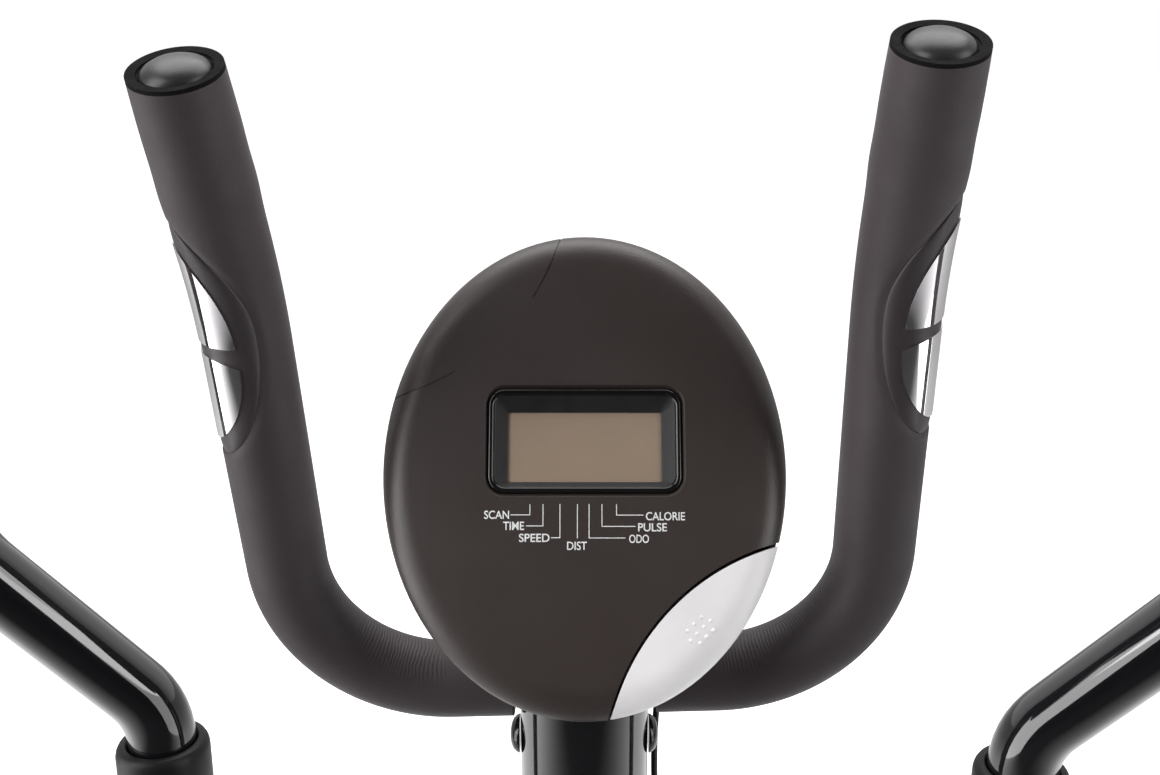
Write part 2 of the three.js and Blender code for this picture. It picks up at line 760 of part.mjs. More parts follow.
function lcdPanel() {
  const top = consoleFace + 0.6 - windowThickness - gap;
  const shape = roundedRectangle(displayWidth + 8, displayHeight + 6, 1, 0, windowRise - displayDrop);
  return extrudeZ(shape, top - 3, top);
}

const consoleBackZ = -consoleSkirt - gap - consoleBackDepth;

function consoleBack() {
  const rim = -consoleSkirt - gap;
  const flat = consoleHalfWidth - consoleBackTaper;
  const outer = turned([[0, rim], [consoleHalfWidth, rim], [consoleHalfWidth - 1.5, rim - 4],
    [flat + 2, consoleBackZ + 1], [flat - 4, consoleBackZ], [0, consoleBackZ]], ovalSides);
  const radius = consoleHalfWidth - consoleWall;
  const inner = turned([[0, rim + 1], [radius, rim + 1], [radius - 1.5, rim - 3],
    [flat - 1, consoleBackZ + consoleWall], [0, consoleBackZ + consoleWall]], ovalSides);
  const doorway = batteryDoor(gap, 5);
  const gland = rodZ(4.5, consoleBackZ - 4, consoleBackZ + 1, cableOutletX, cableOutletY, 16);
  const bore = holeZ(cableRadius + gap, consoleBackZ - 20, consoleBackZ + 20, cableOutletX,
    cableOutletY, 12);
  return outer.scale(ovalScale).subtract(inner.scale(ovalScale)).add(gland).subtract(doorway)
    .subtract(bore);
}

const cableOutletX = 42;
const cableOutletY = -42;

function batteryDoor(grow, deeper) {
  const shape = roundedRectangle(batteryWidth + 2 * grow, batteryHeight + 2 * grow, 3, 0, 52);
  return extrudeZ(shape, consoleBackZ - (deeper > 0 ? deeper : 0), consoleBackZ + 2 + deeper);
}

function circuitBoard() {
  const z = -8;
  return block(-boardWidth / 2, boardWidth / 2, -boardHeight / 2 + 8, boardHeight / 2 + 8, z,
    z + boardThickness);
}

// A plate on the console's back, and a web from it down into the top of the post.
function consoleBracket() {
  const back = new THREE.Vector2(consoleForward, consoleAboveBar);
  const normal = new THREE.Vector2(Math.cos(consoleTilt), -Math.sin(consoleTilt));
  const along = new THREE.Vector2(Math.sin(consoleTilt), Math.cos(consoleTilt));
  const face = (up, deep) => back.clone().addScaledVector(along, up)
    .addScaledVector(normal, -consoleBackZ + gap + deep);
  const plateLow = -bracketPlateHeight / 2 - 15;
  const plateTop = bracketPlateHeight / 2 - 15;
  const outline = (corners) => new THREE.Shape(corners);
  const plate = outline([face(plateLow, 0), face(plateLow, bracketThickness),
    face(plateTop, bracketThickness), face(plateTop, 0)]);
  const half = bracketDepth / 2;
  const low = barTubeRadius + 1.5;
  const heightAt = (y) => {
    const start = face(0, 1);
    return start.y + (y - start.x) / Math.tan(consoleTilt);
  };
  const web = outline([new THREE.Vector2(-half, low), new THREE.Vector2(half, low),
    new THREE.Vector2(half, heightAt(half)), new THREE.Vector2(-half, heightAt(-half))]);
  const widePlate = extrudeX(plate, -bracketPlateWidth / 2, bracketPlateWidth / 2);
  const narrowWeb = extrudeX(web, -bracketWidth / 2, bracketWidth / 2);
  return widePlate.add(narrowWeb).translate([0, postForward, barHeight]);
}

// The sensor cable leaves the console's back, passes behind the bolt's cap and enters the post.
function sensorCable() {
  const tilt = Math.PI / 2 - consoleTilt;
  const outlet = point(cableOutletX, cableOutletY, consoleBackZ - 4 - gap)
    .applyAxisAngle(point(1, 0, 0), tilt).add(point(0, consoleForward, consoleAboveBar));
  const route = [
    outlet, point(42, 12, 48), point(40.5, 21, 30), point(38, 23, 8), point(36.3, 21.5, -16),
    point(34.6, 15, -38), point(34.2, 9, -58), point(35.6, 6, -82), point(37.2, 4, -110),
    point(38.8, 2, -140), point(41, 1, -165), point(43.5, 0.3, -184), point(42.6, 0, -195.5),
    point(39.4, 0, -200),
    point(postRadius + grommetProud + gap, 0, -grommetBelowBar),
  ];
  const curve = new THREE.CatmullRomCurve3(route);
  const cord = sweep(curve.getPoints(38), disc(cableRadius), forwards, 4);
  return cord.translate([0, postForward, barHeight]);
}

function cableGrommet() {
  const profile = [[0, -2], [4 - gap, -2], [4 - gap, postWall + 0.6], [8, postWall + 0.6],
    [8, postWall + 1.8], [5.5, postWall + grommetProud], [0, postWall + grommetProud]];
  return turnedAlongX(profile, postRadius - postWall, postForward, barHeight - grommetBelowBar, 16);
}

function placeConsole() {
  const head = group(0, postForward + consoleForward, barHeight + consoleAboveBar,
    Math.PI / 2 - consoleTilt);
  add(head, 'console_front', consoleFront(), charcoalPlastic);
  add(head, 'console_back', consoleBack(), charcoalPlastic);
  add(head, 'mode_button', modeButton(), pearl);
  add(head, 'display_window', displayWindow(), glossBlack);
  add(head, 'lcd_panel', lcdPanel(), displayGrey);
  add(head, 'circuit_board', circuitBoard(), boardGreen);
  add(head, 'battery_door', batteryDoor(0, 0), charcoalPlastic);
  add(trainer, 'console_bracket', consoleBracket(), blackPaint);
  add(trainer, 'sensor_cable', sensorCable(), rubber);
  add(trainer, 'cable_grommet', cableGrommet(), rubber);
}

// Drive.
function crankArm(sign) {
  const outer = crankFaceX - runningGap;
  const inner = crankFaceX - crankThickness;
  const pinZ = crankHeight - sign * crankRadius;
  const outline = twoCircles(crankForward, crankHeight, crankWidth / 2, crankForward, pinZ,
    crankWidth / 2 - 2);
  const arm = extrudeX(outline, inner, outer, { curveSegments: 12 });
  const bored = arm.subtract(holeX(crankAxleRadius + gap, inner - 1, inner + 11, crankForward, crankHeight));
  return mirrorTo(sign, bored);
}

function crankAxle() {
  const reach = crankFaceX - crankThickness + 10;
  return rodX(crankAxleRadius, -reach, reach, crankForward, crankHeight);
}

function drivePulley() {
  const half = pulleyWidth / 2;
  const bore = widen(crankAxleRadius + gap, 28);
  const rim = pulleyRadius;
  const profile = [
    [bore, -half - 4], [bore + 14, -half - 4], [bore + 14, -2.5], [rim - 14, -2.5], [rim - 14, -half],
    [rim, -half], [rim, half], [rim - 14, half], [rim - 14, 2.5], [bore + 14, 2.5], [bore + 14, half + 4],
    [bore, half + 4],
  ];
  const x = beltCentre;
  let pulley = turnedAlongX([...profile, profile[0]], x, crankForward, crankHeight, 28);
  const holes = 4;
  for (let i = 0; i < holes; i += 1) {
    const angle = (2 * Math.PI * i) / holes;
    const reach = pulleyRadius * 0.56;
    pulley = pulley.subtract(holeX(24, x - 9, x + 9, crankForward + reach * Math.cos(angle),
      crankHeight + reach * Math.sin(angle), 10));
  }
  return pulley;
}

function driveBelt() {
  const x = beltCentre;
  const loop = (grow) => twoCircles(crankForward, crankHeight, pulleyRadius + grow, flywheelForward,
    flywheelHeight, smallPulleyRadius + grow);
  const inner = loop(gap * 2);
  const shape = loop(gap * 2 + beltThickness);
  const settings = { curveSegments: 14 };
  const outside = extrudeX(shape, x - beltWidth / 2, x + beltWidth / 2, settings);
  return outside.subtract(extrudeX(inner, x - beltWidth, x + beltWidth, settings));
}

function flywheel() {
  const half = flywheelWidth / 2;
  const bore = widen(flywheelAxleRadius + runningGap, 28);
  const rim = flywheelRadius;
  const profile = [
    [bore, -half - 6], [24, -half - 6], [24, -5], [rim - 30, -5], [rim - 26, -half], [rim, -half],
    [rim, half], [rim - 26, half], [rim - 30, 5], [24, 5], [24, half + 6], [bore, half + 6],
  ];
  return turnedAlongX([...profile, profile[0]], 0, flywheelForward, flywheelHeight, 28);
}

function beltPulley() {
  const bore = widen(flywheelAxleRadius + gap, 28);
  const half = pulleyWidth / 2;
  const start = flywheelPlateX + flywheelPlateThickness + runningGap;
  const centre = beltCentre;
  const profile = [
    [bore, start - centre], [15, start - centre], [15, -half], [smallPulleyRadius, -half],
    [smallPulleyRadius, half], [bore, half],
  ];
  return turnedAlongX([...profile, profile[0]], centre, flywheelForward, flywheelHeight, 28);
}

function flywheelAxle() {
  const start = -flywheelPlateX - flywheelPlateThickness - 8;
  const end = pulleyOffset + pulleyWidth + 6;
  return rodX(flywheelAxleRadius, start, end, flywheelForward, flywheelHeight, 20);
}

// The idler runs just under the belt's lower side, on a pin of the frame.
function idlerPlace() {
  const heading = Math.atan2(flywheelHeight - crankHeight, flywheelForward - crankForward);
  const span = Math.hypot(flywheelHeight - crankHeight, flywheelForward - crankForward);
  const spread = Math.acos((pulleyRadius - smallPulleyRadius) / span);
  const side = point(0, Math.cos(heading - spread), Math.sin(heading - spread));
  const along = point(0, -side.z, side.y);
  const touch = smallPulleyRadius + beltThickness + 3 * gap + idlerRadius;
  const start = point(0, flywheelForward, flywheelHeight).addScaledVector(side, touch);
  return start.addScaledVector(along, (idlerForward - start.y) / along.y);
}

function idlerPulley() {
  const centre = idlerPlace();
  const half = beltWidth / 2;
  const bore = widen(idlerPinRadius + runningGap, 20);
  const profile = [[bore, -half - 4], [9, -half - 4], [9, -half - 1], [idlerRadius, -half - 1],
    [idlerRadius, half + 1], [9, half + 1], [9, half + 4], [bore, half + 4]];
  return turnedAlongX([...profile, profile[0]], beltCentre, centre.y, centre.z, 20);
}

// A curved shoe of magnets round the flywheel's front, on its own pivot.
function magnetBracket() {
  const inner = flywheelRadius + magnetGap;
  const shoe = ringPart(inner + magnetThickness, inner, 0 * degrees, 42 * degrees);
  const moved = extrudeX(shoe, -flywheelPlateX + 4, flywheelPlateX - 4)
    .translate([0, flywheelForward, flywheelHeight]);
  const endAngle = -40 * degrees;
  const reach = inner + magnetThickness / 2;
  const endY = flywheelForward + reach * Math.cos(endAngle);
  const endZ = flywheelHeight + reach * Math.sin(endAngle);
  const link = twoCircles(magnetPivotY, magnetPivotZ, 7, endY, endZ, 4);
  const pinReach = flywheelPlateX + flywheelPlateThickness;
  return moved.add(extrudeX(link, -flywheelPlateX + 4, flywheelPlateX - 4))
    .add(rodX(4, -pinReach, pinReach, magnetPivotY, magnetPivotZ, 16));
}

// One half of the drive's casing: a dish open at the middle plane, cut where the frame comes through.
function driveCover(sign) {
  const outline = (shrink) => twoCircles(crankForward, crankHeight, coverRearRadius - shrink,
    flywheelForward, flywheelHeight, coverFrontRadius - shrink);
  const rounded = (shrink) => {
    const bevel = coverBevel - shrink / 2;
    const reach = coverHalfWidth - shrink - bevel;
    return extrudeX(outline(shrink), -reach, reach, {
      bevelEnabled: true, bevelThickness: bevel, bevelSize: bevel, bevelOffset: -bevel,
      bevelSegments: 2, curveSegments: 10,
    });
  };
  const mid = gap / 2;
  const dish = rounded(0).subtract(rounded(coverWall))
    .subtract(block(-2 * coverHalfWidth, mid, -halfLength, halfLength, 0, barHeight));
  const slack = 2;
  const opening = block(-1, keelWidth / 2 + slack, crankForward - 22 - slack, crankForward + 22 + slack,
    keelTop - 5, crankHeight - coverRearRadius + 14);
  const frontOpening = block(-1, keelWidth / 2 + slack, idlerForward - 8 - slack, magnetPivotY + 14,
    keelTop - 5, magnetPivotZ + 16);
  const axleHole = rodX(crankAxleRadius + 6, 0, coverHalfWidth + 5, crankForward, crankHeight);
  const keelRoom = block(-1, keelWidth / 2 + slack, -halfLength, halfLength, 0, keelTop + gap);
  const half = dish.subtract(axleHole).subtract(opening).subtract(frontOpening).subtract(keelRoom);
  return mirrorTo(sign, half);
}

function placeDrive() {
  add(trainer, 'crank_axle', crankAxle(), steel);
  add(trainer, 'drive_pulley', drivePulley(), blackPlastic);
  add(trainer, 'drive_belt', driveBelt(), rubber);
  add(trainer, 'flywheel', flywheel(), iron);
  add(trainer, 'flywheel_pulley', beltPulley(), steel);
  add(trainer, 'flywheel_axle', flywheelAxle(), steel);
  add(trainer, 'idler_pulley', idlerPulley(), blackPlastic);
  add(trainer, 'magnet_bracket', magnetBracket(), iron);
  forBoth((side, sign) => {
    add(trainer, `crank_arm_${side}`, crankArm(sign), blackPaint);
    add(trainer, `drive_cover_${side}`, driveCover(sign), blackPlastic);
  });
}

// The swing arm's turn that brings its lower pin to the pedal arm's length from the crank pin.
function swingTurn(pinZ) {
  const across = crankForward - postForward;
  const down = pinZ - pivotHeight;
  const distance = Math.hypot(across, down);
  const square = swingLowerLength ** 2 + distance ** 2 - pedalLength ** 2;
  const inner = Math.acos(square / (2 * swingLowerLength * distance));
  return Math.atan2(down, across) + 2 * Math.PI + inner - 1.5 * Math.PI;
}

function swingArm() {
  const top = barHeight - pivotHeight - collarBelowBar - collarHeight + collarSkirt;
  const half = swingBushLength / 2;
  const innerEnd = pedalCentre - pedalTube / 2 - 3;
  return rodZ(swingTubeRadius, -swingLowerLength, top, swingSpacing, 0)
    .subtract(holeZ(handleTubeRadius + handleFit, -swingLowerLength + 30, top + 1, swingSpacing, 0, 20))
    .add(rodX(swingTubeRadius + 1, swingSpacing - swingTubeRadius, swingSpacing + swingTubeRadius, 0,
      -swingLowerLength))
    .add(rodX(swingBushRadius, swingSpacing - half, swingSpacing + half, 0, 0))
    .add(rodX(pedalPinRadius, innerEnd - runningGap - 1, swingSpacing, 0, -swingLowerLength, 20))
    .add(rodX(pedalPinRadius + 6, innerEnd - runningGap - 5, innerEnd - runningGap, 0, -swingLowerLength, 20))
    .subtract(holeY(ventRadius, -swingTubeRadius - 1, 0, swingSpacing, -swingBushRadius - 30, 10))
    .subtract(holeX(pivotAxleRadius + runningGap, swingSpacing - half - 1, swingSpacing + half + 1, 0, 0));
}

function pivotCap() {
  const profile = [[0, 0], [swingBushRadius, 0], [swingBushRadius, 3], [swingBushRadius * 0.8, 6.5],
    [swingBushRadius * 0.45, pivotCapHeight - 0.6], [0, pivotCapHeight]];
  const x = swingSpacing + swingBushLength / 2 + 2 * runningGap;
  return turnedAlongX(profile, x, postForward, pivotHeight, 24);
}

function handleRun() {
  const start = barHeight - pivotHeight - collarBelowBar;
  const leaving = point(handleOut, -handleBack, handleRise);
  const setback = handleFootRadius * Math.tan(leaving.angleTo(point(0, 0, 1)) / 2);
  const lower = point(swingSpacing, 0, start + setback + 1);
  const upper = lower.clone().add(leaving);
  const top = upper.clone().add(point(0, -handleGripLean, handleGripHeight));
  const corners = [point(swingSpacing, 0, start - handleInsert), lower, upper, top];
  return roundedRun(corners, [handleFootRadius, handleBendRadius]);
}

function handleTube() {
  const section = disc(handleTubeRadius, handleTubeRadius - handleTubeWall);
  return sweep(handleRun(), section, forwards);
}

// A sleeve with a closed, rounded end over the top of the handle.
function handleFoam() {
  const run = handleRun();
  const end = runLength(run);
  const covered = stretch(run, end - handleFoamLength, end);
  const tip = covered[covered.length - 1];
  const heading = tip.clone().sub(covered[covered.length - 2]).normalize();
  covered.push(tip.clone().addScaledVector(heading, handleFoamWall));
  const outer = sweep(covered, disc(handleTubeRadius + gap + handleFoamWall), forwards);
  const bore = stretch(run, end - handleFoamLength - 2, end);
  bore.push(tip.clone().addScaledVector(heading, gap));
  return outer.subtract(sweep(bore, disc(handleTubeRadius + gap), forwards));
}

function handleCollar() {
  const base = barHeight - pivotHeight - collarBelowBar - collarHeight;
  const tubeTop = collarSkirt + gap;
  const inner = widen(handleTubeRadius + gap, 20);
  const skirt = widen(swingTubeRadius + gap, 20);
  const profile = [
    [skirt, 0], [collarRadius - 0.8, 0], [collarRadius, 2], [collarRadius, collarHeight - 3],
    [collarRadius - 2, collarHeight], [inner, collarHeight], [inner, tubeTop],
    [skirt, tubeTop],
  ];
  return turned([...profile, profile[0]], 20).translate([swingSpacing, 0, base]);
}

function placeSwing(side, sign, turn) {
  const arm = group(0, postForward, pivotHeight, turn);
  add(arm, `swing_arm_${side}`, mirrorTo(sign, swingArm()), blackPaint);
  add(arm, `handle_tube_${side}`, mirrorTo(sign, handleTube()), blackPaint);
  add(arm, `handle_foam_${side}`, mirrorTo(sign, handleFoam()), foam);
  add(arm, `handle_collar_${side}`, mirrorTo(sign, handleCollar()), blackPlastic);
}

// Drawn from the front pivot at the origin straight back to the crank pin.
function pedalArm() {
  const inner = pedalCentre - pedalTube / 2;
  const outer = pedalCentre + pedalTube / 2;
  const half = pedalTube / 2;
  const boreHalf = half - pedalTubeWall;
  const boss = (y) => rodX(pedalBossRadius, inner - 2, outer, y, 0);
  return block(inner, outer, -pedalLength, 0, -half, half)
    .subtract(block(inner + pedalTubeWall, outer - pedalTubeWall, -pedalLength - 1, 1, -boreHalf, boreHalf))
    .add(boss(0))
    .add(boss(-pedalLength))
    .add(rodX(pedalPinRadius, crankFaceX + runningGap, inner, -pedalLength, 0, 20))
    .subtract(holeZ(ventRadius, -half - 1, 0, pedalCentre, -pedalBossRadius - 30, 10))
    .subtract(holeX(pedalPinRadius + runningGap, inner - 4, outer + 4, 0, 0, 20));
}

function footplate() {
  const half = footplateLength / 2;
  const centreY = -footplateFromPivot;
  const low = pedalTube / 2 + gap;
  const outline = roundedRectangle(footplateWidth, footplateLength, 38, footplateCentre, centreY);
  const inside = roundedRectangle(footplateWidth - 2 * footplateRimWall,
    footplateLength - 2 * footplateRimWall, 38 - footplateRimWall, footplateCentre, centreY);
  const rimTop = low + footplateThickness + footplateRim;
  const open = block(0, 2 * footplateCentre, centreY - half - 1, centreY - half * 0.35,
    low + footplateThickness + 6, rimTop + 9);
  return extrudeZ(outline, low, rimTop)
    .subtract(extrudeZ(inside, low + footplateThickness, rimTop + 9))
    .subtract(open);
}

function placePedal(side, sign, turn) {
  const pinZ = crankHeight - sign * crankRadius;
  const pivotY = postForward + swingLowerLength * Math.sin(turn);
  const pivotZ = pivotHeight - swingLowerLength * Math.cos(turn);
  const slope = -Math.asin((pinZ - pivotZ) / pedalLength);
  const pedal = group(0, pivotY, pivotZ, slope);
  add(pedal, `pedal_arm_${side}`, mirrorTo(sign, pedalArm()), blackPaint);
  add(pedal, `footplate_${side}`, mirrorTo(sign, footplate()), blackPlastic);
}

function placeLinkage() {
  const reach = swingSpacing + swingBushLength / 2 + runningGap;
  add(trainer, 'pivot_axle', rodX(pivotAxleRadius, -reach, reach, postForward, pivotHeight), steel);
  forBoth((side, sign) => {
    const turn = swingTurn(crankHeight - sign * crankRadius);
    add(trainer, `pivot_cap_${side}`, mirrorTo(sign, pivotCap()), blackPlastic);
    placeSwing(side, sign, turn);
    placePedal(side, sign, turn);
  });
}

placeBase();
placePost();
placeHandlebar();
placeConsole();
placeDrive();
placeLinkage();

export default trainer;
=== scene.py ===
import json
import math
import bpy
import bmesh
from mathutils import Matrix, Vector

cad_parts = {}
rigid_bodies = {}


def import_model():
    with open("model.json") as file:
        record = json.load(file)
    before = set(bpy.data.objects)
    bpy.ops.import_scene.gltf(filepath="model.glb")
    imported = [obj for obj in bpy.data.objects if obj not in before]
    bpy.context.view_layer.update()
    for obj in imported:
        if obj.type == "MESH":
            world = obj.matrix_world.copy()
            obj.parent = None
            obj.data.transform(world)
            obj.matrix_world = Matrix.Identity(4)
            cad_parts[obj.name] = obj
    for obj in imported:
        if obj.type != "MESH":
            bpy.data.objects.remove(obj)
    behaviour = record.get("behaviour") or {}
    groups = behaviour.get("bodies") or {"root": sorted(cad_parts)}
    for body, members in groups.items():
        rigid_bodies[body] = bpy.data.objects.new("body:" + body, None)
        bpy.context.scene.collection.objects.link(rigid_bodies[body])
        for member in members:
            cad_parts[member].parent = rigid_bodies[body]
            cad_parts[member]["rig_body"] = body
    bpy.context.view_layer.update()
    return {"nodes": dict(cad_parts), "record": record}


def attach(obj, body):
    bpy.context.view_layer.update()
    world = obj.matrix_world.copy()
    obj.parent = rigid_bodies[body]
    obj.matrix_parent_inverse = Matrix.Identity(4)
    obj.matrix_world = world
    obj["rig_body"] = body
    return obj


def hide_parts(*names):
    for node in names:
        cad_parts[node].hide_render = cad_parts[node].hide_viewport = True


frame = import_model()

nodes = frame["nodes"]
slotOf = {part["node"]: part["material_slot"] for part in frame["record"]["subparts"]}
metres = Matrix.Scale(0.001, 4)  # the sizes below are in millimetres
upright = Matrix.Identity(4)

# Places shared by several pieces.
machine = {
    "postForward": 365, "barHeight": 1120, "postRadius": 30, "postFoot": 101.6, "postTop": 1138,
    "pivotHeight": 620, "armTurnLeft": -1.466, "armTurnRight": 1.364,
    "barRoll": -1.95, "barYaw": -0.6,
    "consoleForward": -9, "consoleAbove": 104.6, "consoleTilt": 26,
}


def turnAbout(axis, angle):
    return Matrix.Rotation(math.radians(angle), 4, axis)


barPlace = (metres @ Matrix.Translation((0, machine["postForward"], machine["barHeight"]))
            @ turnAbout("Z", machine["barYaw"]) @ turnAbout("Y", machine["barRoll"]))
consolePlace = (metres @ Matrix.Translation((0, machine["postForward"] + machine["consoleForward"],
                                             machine["barHeight"] + machine["consoleAbove"]))
                @ turnAbout("X", 90 - machine["consoleTilt"]))
mirrored = Matrix.Scale(-1, 4, (1, 0, 0))
sides = [("left", mirrored), ("right", upright)]


def armPlace(side):
    turn = machine["armTurnLeft"] if side == "left" else machine["armTurnRight"]
    lift = Matrix.Translation((0, machine["postForward"], machine["pivotHeight"]))
    return metres @ lift @ turnAbout("X", turn)


# Camera.
cameraFacts = {"lens": 36.44, "place": (-0.002, -0.1191, 1.4081), "down": 17.0}
cameraData = bpy.data.cameras.new("camera")
cameraData.lens = cameraFacts["lens"]
cameraData.sensor_width = 36
camera = bpy.data.objects.new("camera", cameraData)
camera.location = cameraFacts["place"]
camera.rotation_euler = (math.radians(90 - cameraFacts["down"]), 0, 0)
bpy.context.collection.objects.link(camera)
bpy.context.scene.camera = camera


# Materials.
def link(tree, start, end):
    tree.links.new(start, end)


def addNode(tree, kind, **settings):
    made = tree.nodes.new(kind)
    for key, value in settings.items():
        setattr(made, key, value)
    return made


def startMaterial(name, look):
    material = bpy.data.materials.new(name)
    material.use_nodes = True
    tree = material.node_tree
    shader = tree.nodes["Principled BSDF"]
    sockets = {"metallic": "Metallic", "specular": "Specular IOR Level", "coat": "Coat Weight",
               "coatRoughness": "Coat Roughness", "sheen": "Sheen Weight",
               "sheenRoughness": "Sheen Roughness"}
    for key, socket in sockets.items():
        if key in look:
            shader.inputs[socket].default_value = look[key]
    return material, tree, shader


def place3(tree, stretch=(1, 1, 1)):
    coords = addNode(tree, "ShaderNodeTexCoord")
    mapping = addNode(tree, "ShaderNodeMapping")
    mapping.inputs["Scale"].default_value = stretch
    link(tree, coords.outputs["Object"], mapping.inputs["Vector"])
    return mapping.outputs["Vector"]


def noise(tree, where, scale, detail=4, roughness=0.55):
    made = addNode(tree, "ShaderNodeTexNoise")
    made.inputs["Scale"].default_value = scale
    made.inputs["Detail"].default_value = detail
    made.inputs["Roughness"].default_value = roughness
    link(tree, where, made.inputs["Vector"])
    return made.outputs["Fac"]


def ranged(tree, value, low, high, start=0.3, end=0.7):
    made = addNode(tree, "ShaderNodeMapRange")
    made.inputs["From Min"].default_value = start
    made.inputs["From Max"].default_value = end
    made.inputs["To Min"].default_value = low
    made.inputs["To Max"].default_value = high
    link(tree, value, made.inputs["Value"])
    return made.outputs["Result"]


def maths(tree, operation, first, second=None):
    made = addNode(tree, "ShaderNodeMath", operation=operation)
    for socket, value in zip(made.inputs, (first, second)):
        if value is None:
            continue
        if isinstance(value, (int, float)):
            socket.default_value = value
        else:
            link(tree, value, socket)
    return made.outputs["Value"]


def mixColours(tree, factor, first, second):
    made = addNode(tree, "ShaderNodeMix", data_type="RGBA")
    if isinstance(factor, (int, float)):
        made.inputs[0].default_value = factor
    else:
        link(tree, factor, made.inputs[0])
    for socket, value in ((made.inputs[6], first), (made.inputs[7], second)):
        if isinstance(value, (tuple, list)):
            socket.default_value = (*value[:3], 1)
        else:
            link(tree, value, socket)
    return made.outputs[2]


def bump(tree, height, strength, distance, before=None):
    made = addNode(tree, "ShaderNodeBump")
    made.inputs["Strength"].default_value = strength
    made.inputs["Distance"].default_value = distance
    link(tree, height, made.inputs["Height"])
    if before is not None:
        link(tree, before, made.inputs["Normal"])
    return made.outputs["Normal"]


def grained(tree, where, grain):
    # bump on bump, each from a kind, a scale, a strength and a depth in metres
    normal = None
    for kind, scale, strength, distance in grain:
        if kind == "noise":
            height = noise(tree, where, scale, 3)
        elif kind == "cells":
            cells = addNode(tree, "ShaderNodeTexVoronoi", feature="SMOOTH_F1")
            cells.inputs["Scale"].default_value = scale
            link(tree, where, cells.inputs["Vector"])
            height = cells.outputs["Distance"]
        else:
            wave = addNode(tree, "ShaderNodeTexWave", bands_direction=kind)
            wave.inputs["Scale"].default_value = scale
            wave.inputs["Distortion"].default_value = 2.5
            link(tree, where, wave.inputs["Vector"])
            height = wave.outputs["Fac"]
        normal = bump(tree, height, strength, distance, normal)
    return normal


def makeFinish(name, look):
    # a mottled, grained surface; look gives its colours, its shine and its grain
    material, tree, shader = startMaterial(name, look)
    where = place3(tree, look.get("stretch", (1, 1, 1)))
    patches = ranged(tree, noise(tree, where, look["patch"], 5), 0, 1)
    colour = mixColours(tree, patches, look["dark"], look["light"])
    if "dust" in look:
        scale, amount, dustColour = look["dust"]
        specks = ranged(tree, noise(tree, where, scale, 6, 0.7), 0, amount, 0.56, 0.75)
        colour = mixColours(tree, specks, colour, dustColour)
    link(tree, colour, shader.inputs["Base Color"])
    shine = noise(tree, where, look["patch"] * 2.3, 6, 0.65)
    link(tree, ranged(tree, shine, *look["rough"]), shader.inputs["Roughness"])
    link(tree, grained(tree, where, look["grain"]), shader.inputs["Normal"])
    return material


looks = {
    "black_gloss_paint": {
        "dark": (0.004, 0.004, 0.005), "light": (0.008, 0.0075, 0.009), "patch": 9, "rough": (0.05, 0.11),
        "coat": 1.0, "coatRoughness": 0.04, "dust": (420, 0.25, (0.02, 0.02, 0.021)),
        "grain": [("noise", 160, 0.05, 0.0004), ("noise", 900, 0.03, 0.0001)]},
    "black_matte_plastic": {
        "dark": (0.008, 0.0072, 0.0075), "light": (0.013, 0.0118, 0.012), "patch": 14, "rough": (0.38, 0.5),
        "specular": 0.2, "grain": [("cells", 1500, 0.35, 0.00012), ("noise", 500, 0.12, 0.0002)]},
    "charcoal_plastic": {
        "dark": (0.034, 0.025, 0.0235), "light": (0.041, 0.031, 0.029), "patch": 11, "rough": (0.38, 0.46),
        "specular": 0.5, "grain": [("noise", 1500, 0.6, 0.00014), ("cells", 2600, 0.3, 0.0001)]},
    "gloss_black_plastic": {
        "dark": (0.004, 0.004, 0.0045), "light": (0.008, 0.0078, 0.008), "patch": 20, "rough": (0.1, 0.17),
        "grain": [("noise", 700, 0.04, 0.0001)]},
    "pearl_plastic": {
        "dark": (0.86, 0.84, 0.85), "light": (0.93, 0.91, 0.92), "patch": 30, "rough": (0.34, 0.42),
        "coat": 0.3, "coatRoughness": 0.25, "dust": (5200, 0.4, (0.93, 0.92, 0.93)),
        "grain": [("noise", 3800, 0.2, 0.00006)]},
    "display_glass": {
        "dark": (0.305, 0.232, 0.172), "light": (0.335, 0.255, 0.19), "patch": 25, "rough": (0.2, 0.26),
        "grain": [("noise", 2400, 0.05, 0.00005)]},
    "board_green": {
        "dark": (0.012, 0.07, 0.03), "light": (0.02, 0.11, 0.045), "patch": 60, "rough": (0.3, 0.45),
        "grain": [("X", 260, 0.2, 0.0001)]},
    "foam_rubber": {
        "dark": (0.034, 0.025, 0.027), "light": (0.043, 0.0325, 0.035), "patch": 16, "rough": (0.56, 0.7),
        "sheen": 0.12, "sheenRoughness": 0.4,
        "grain": [("cells", 2300, 0.3, 0.00016), ("noise", 380, 0.15, 0.0003)]},
    "black_rubber": {
        "dark": (0.007, 0.007, 0.007), "light": (0.014, 0.0135, 0.013), "patch": 30, "rough": (0.5, 0.68),
        "grain": [("noise", 1300, 0.25, 0.00015)]},
    "sensor_chrome": {
        "dark": (0.78, 0.76, 0.78), "light": (0.86, 0.84, 0.86), "patch": 60, "rough": (0.035, 0.075),
        "metallic": 1, "grain": [("noise", 140, 0.03, 0.0003)]},
    "plain_steel": {
        "dark": (0.36, 0.36, 0.37), "light": (0.5, 0.5, 0.51), "patch": 40, "rough": (0.22, 0.36),
        "metallic": 1, "stretch": (12, 1, 1), "grain": [("noise", 900, 0.12, 0.0001)]},
    "grey_iron": {
        "dark": (0.05, 0.05, 0.053), "light": (0.09, 0.088, 0.09), "patch": 35, "rough": (0.5, 0.7),
        "metallic": 0.6, "grain": [("noise", 420, 0.5, 0.0005), ("noise", 1900, 0.3, 0.0002)]},
}
finishes = {name: makeFinish(name, look) for name, look in looks.items()}


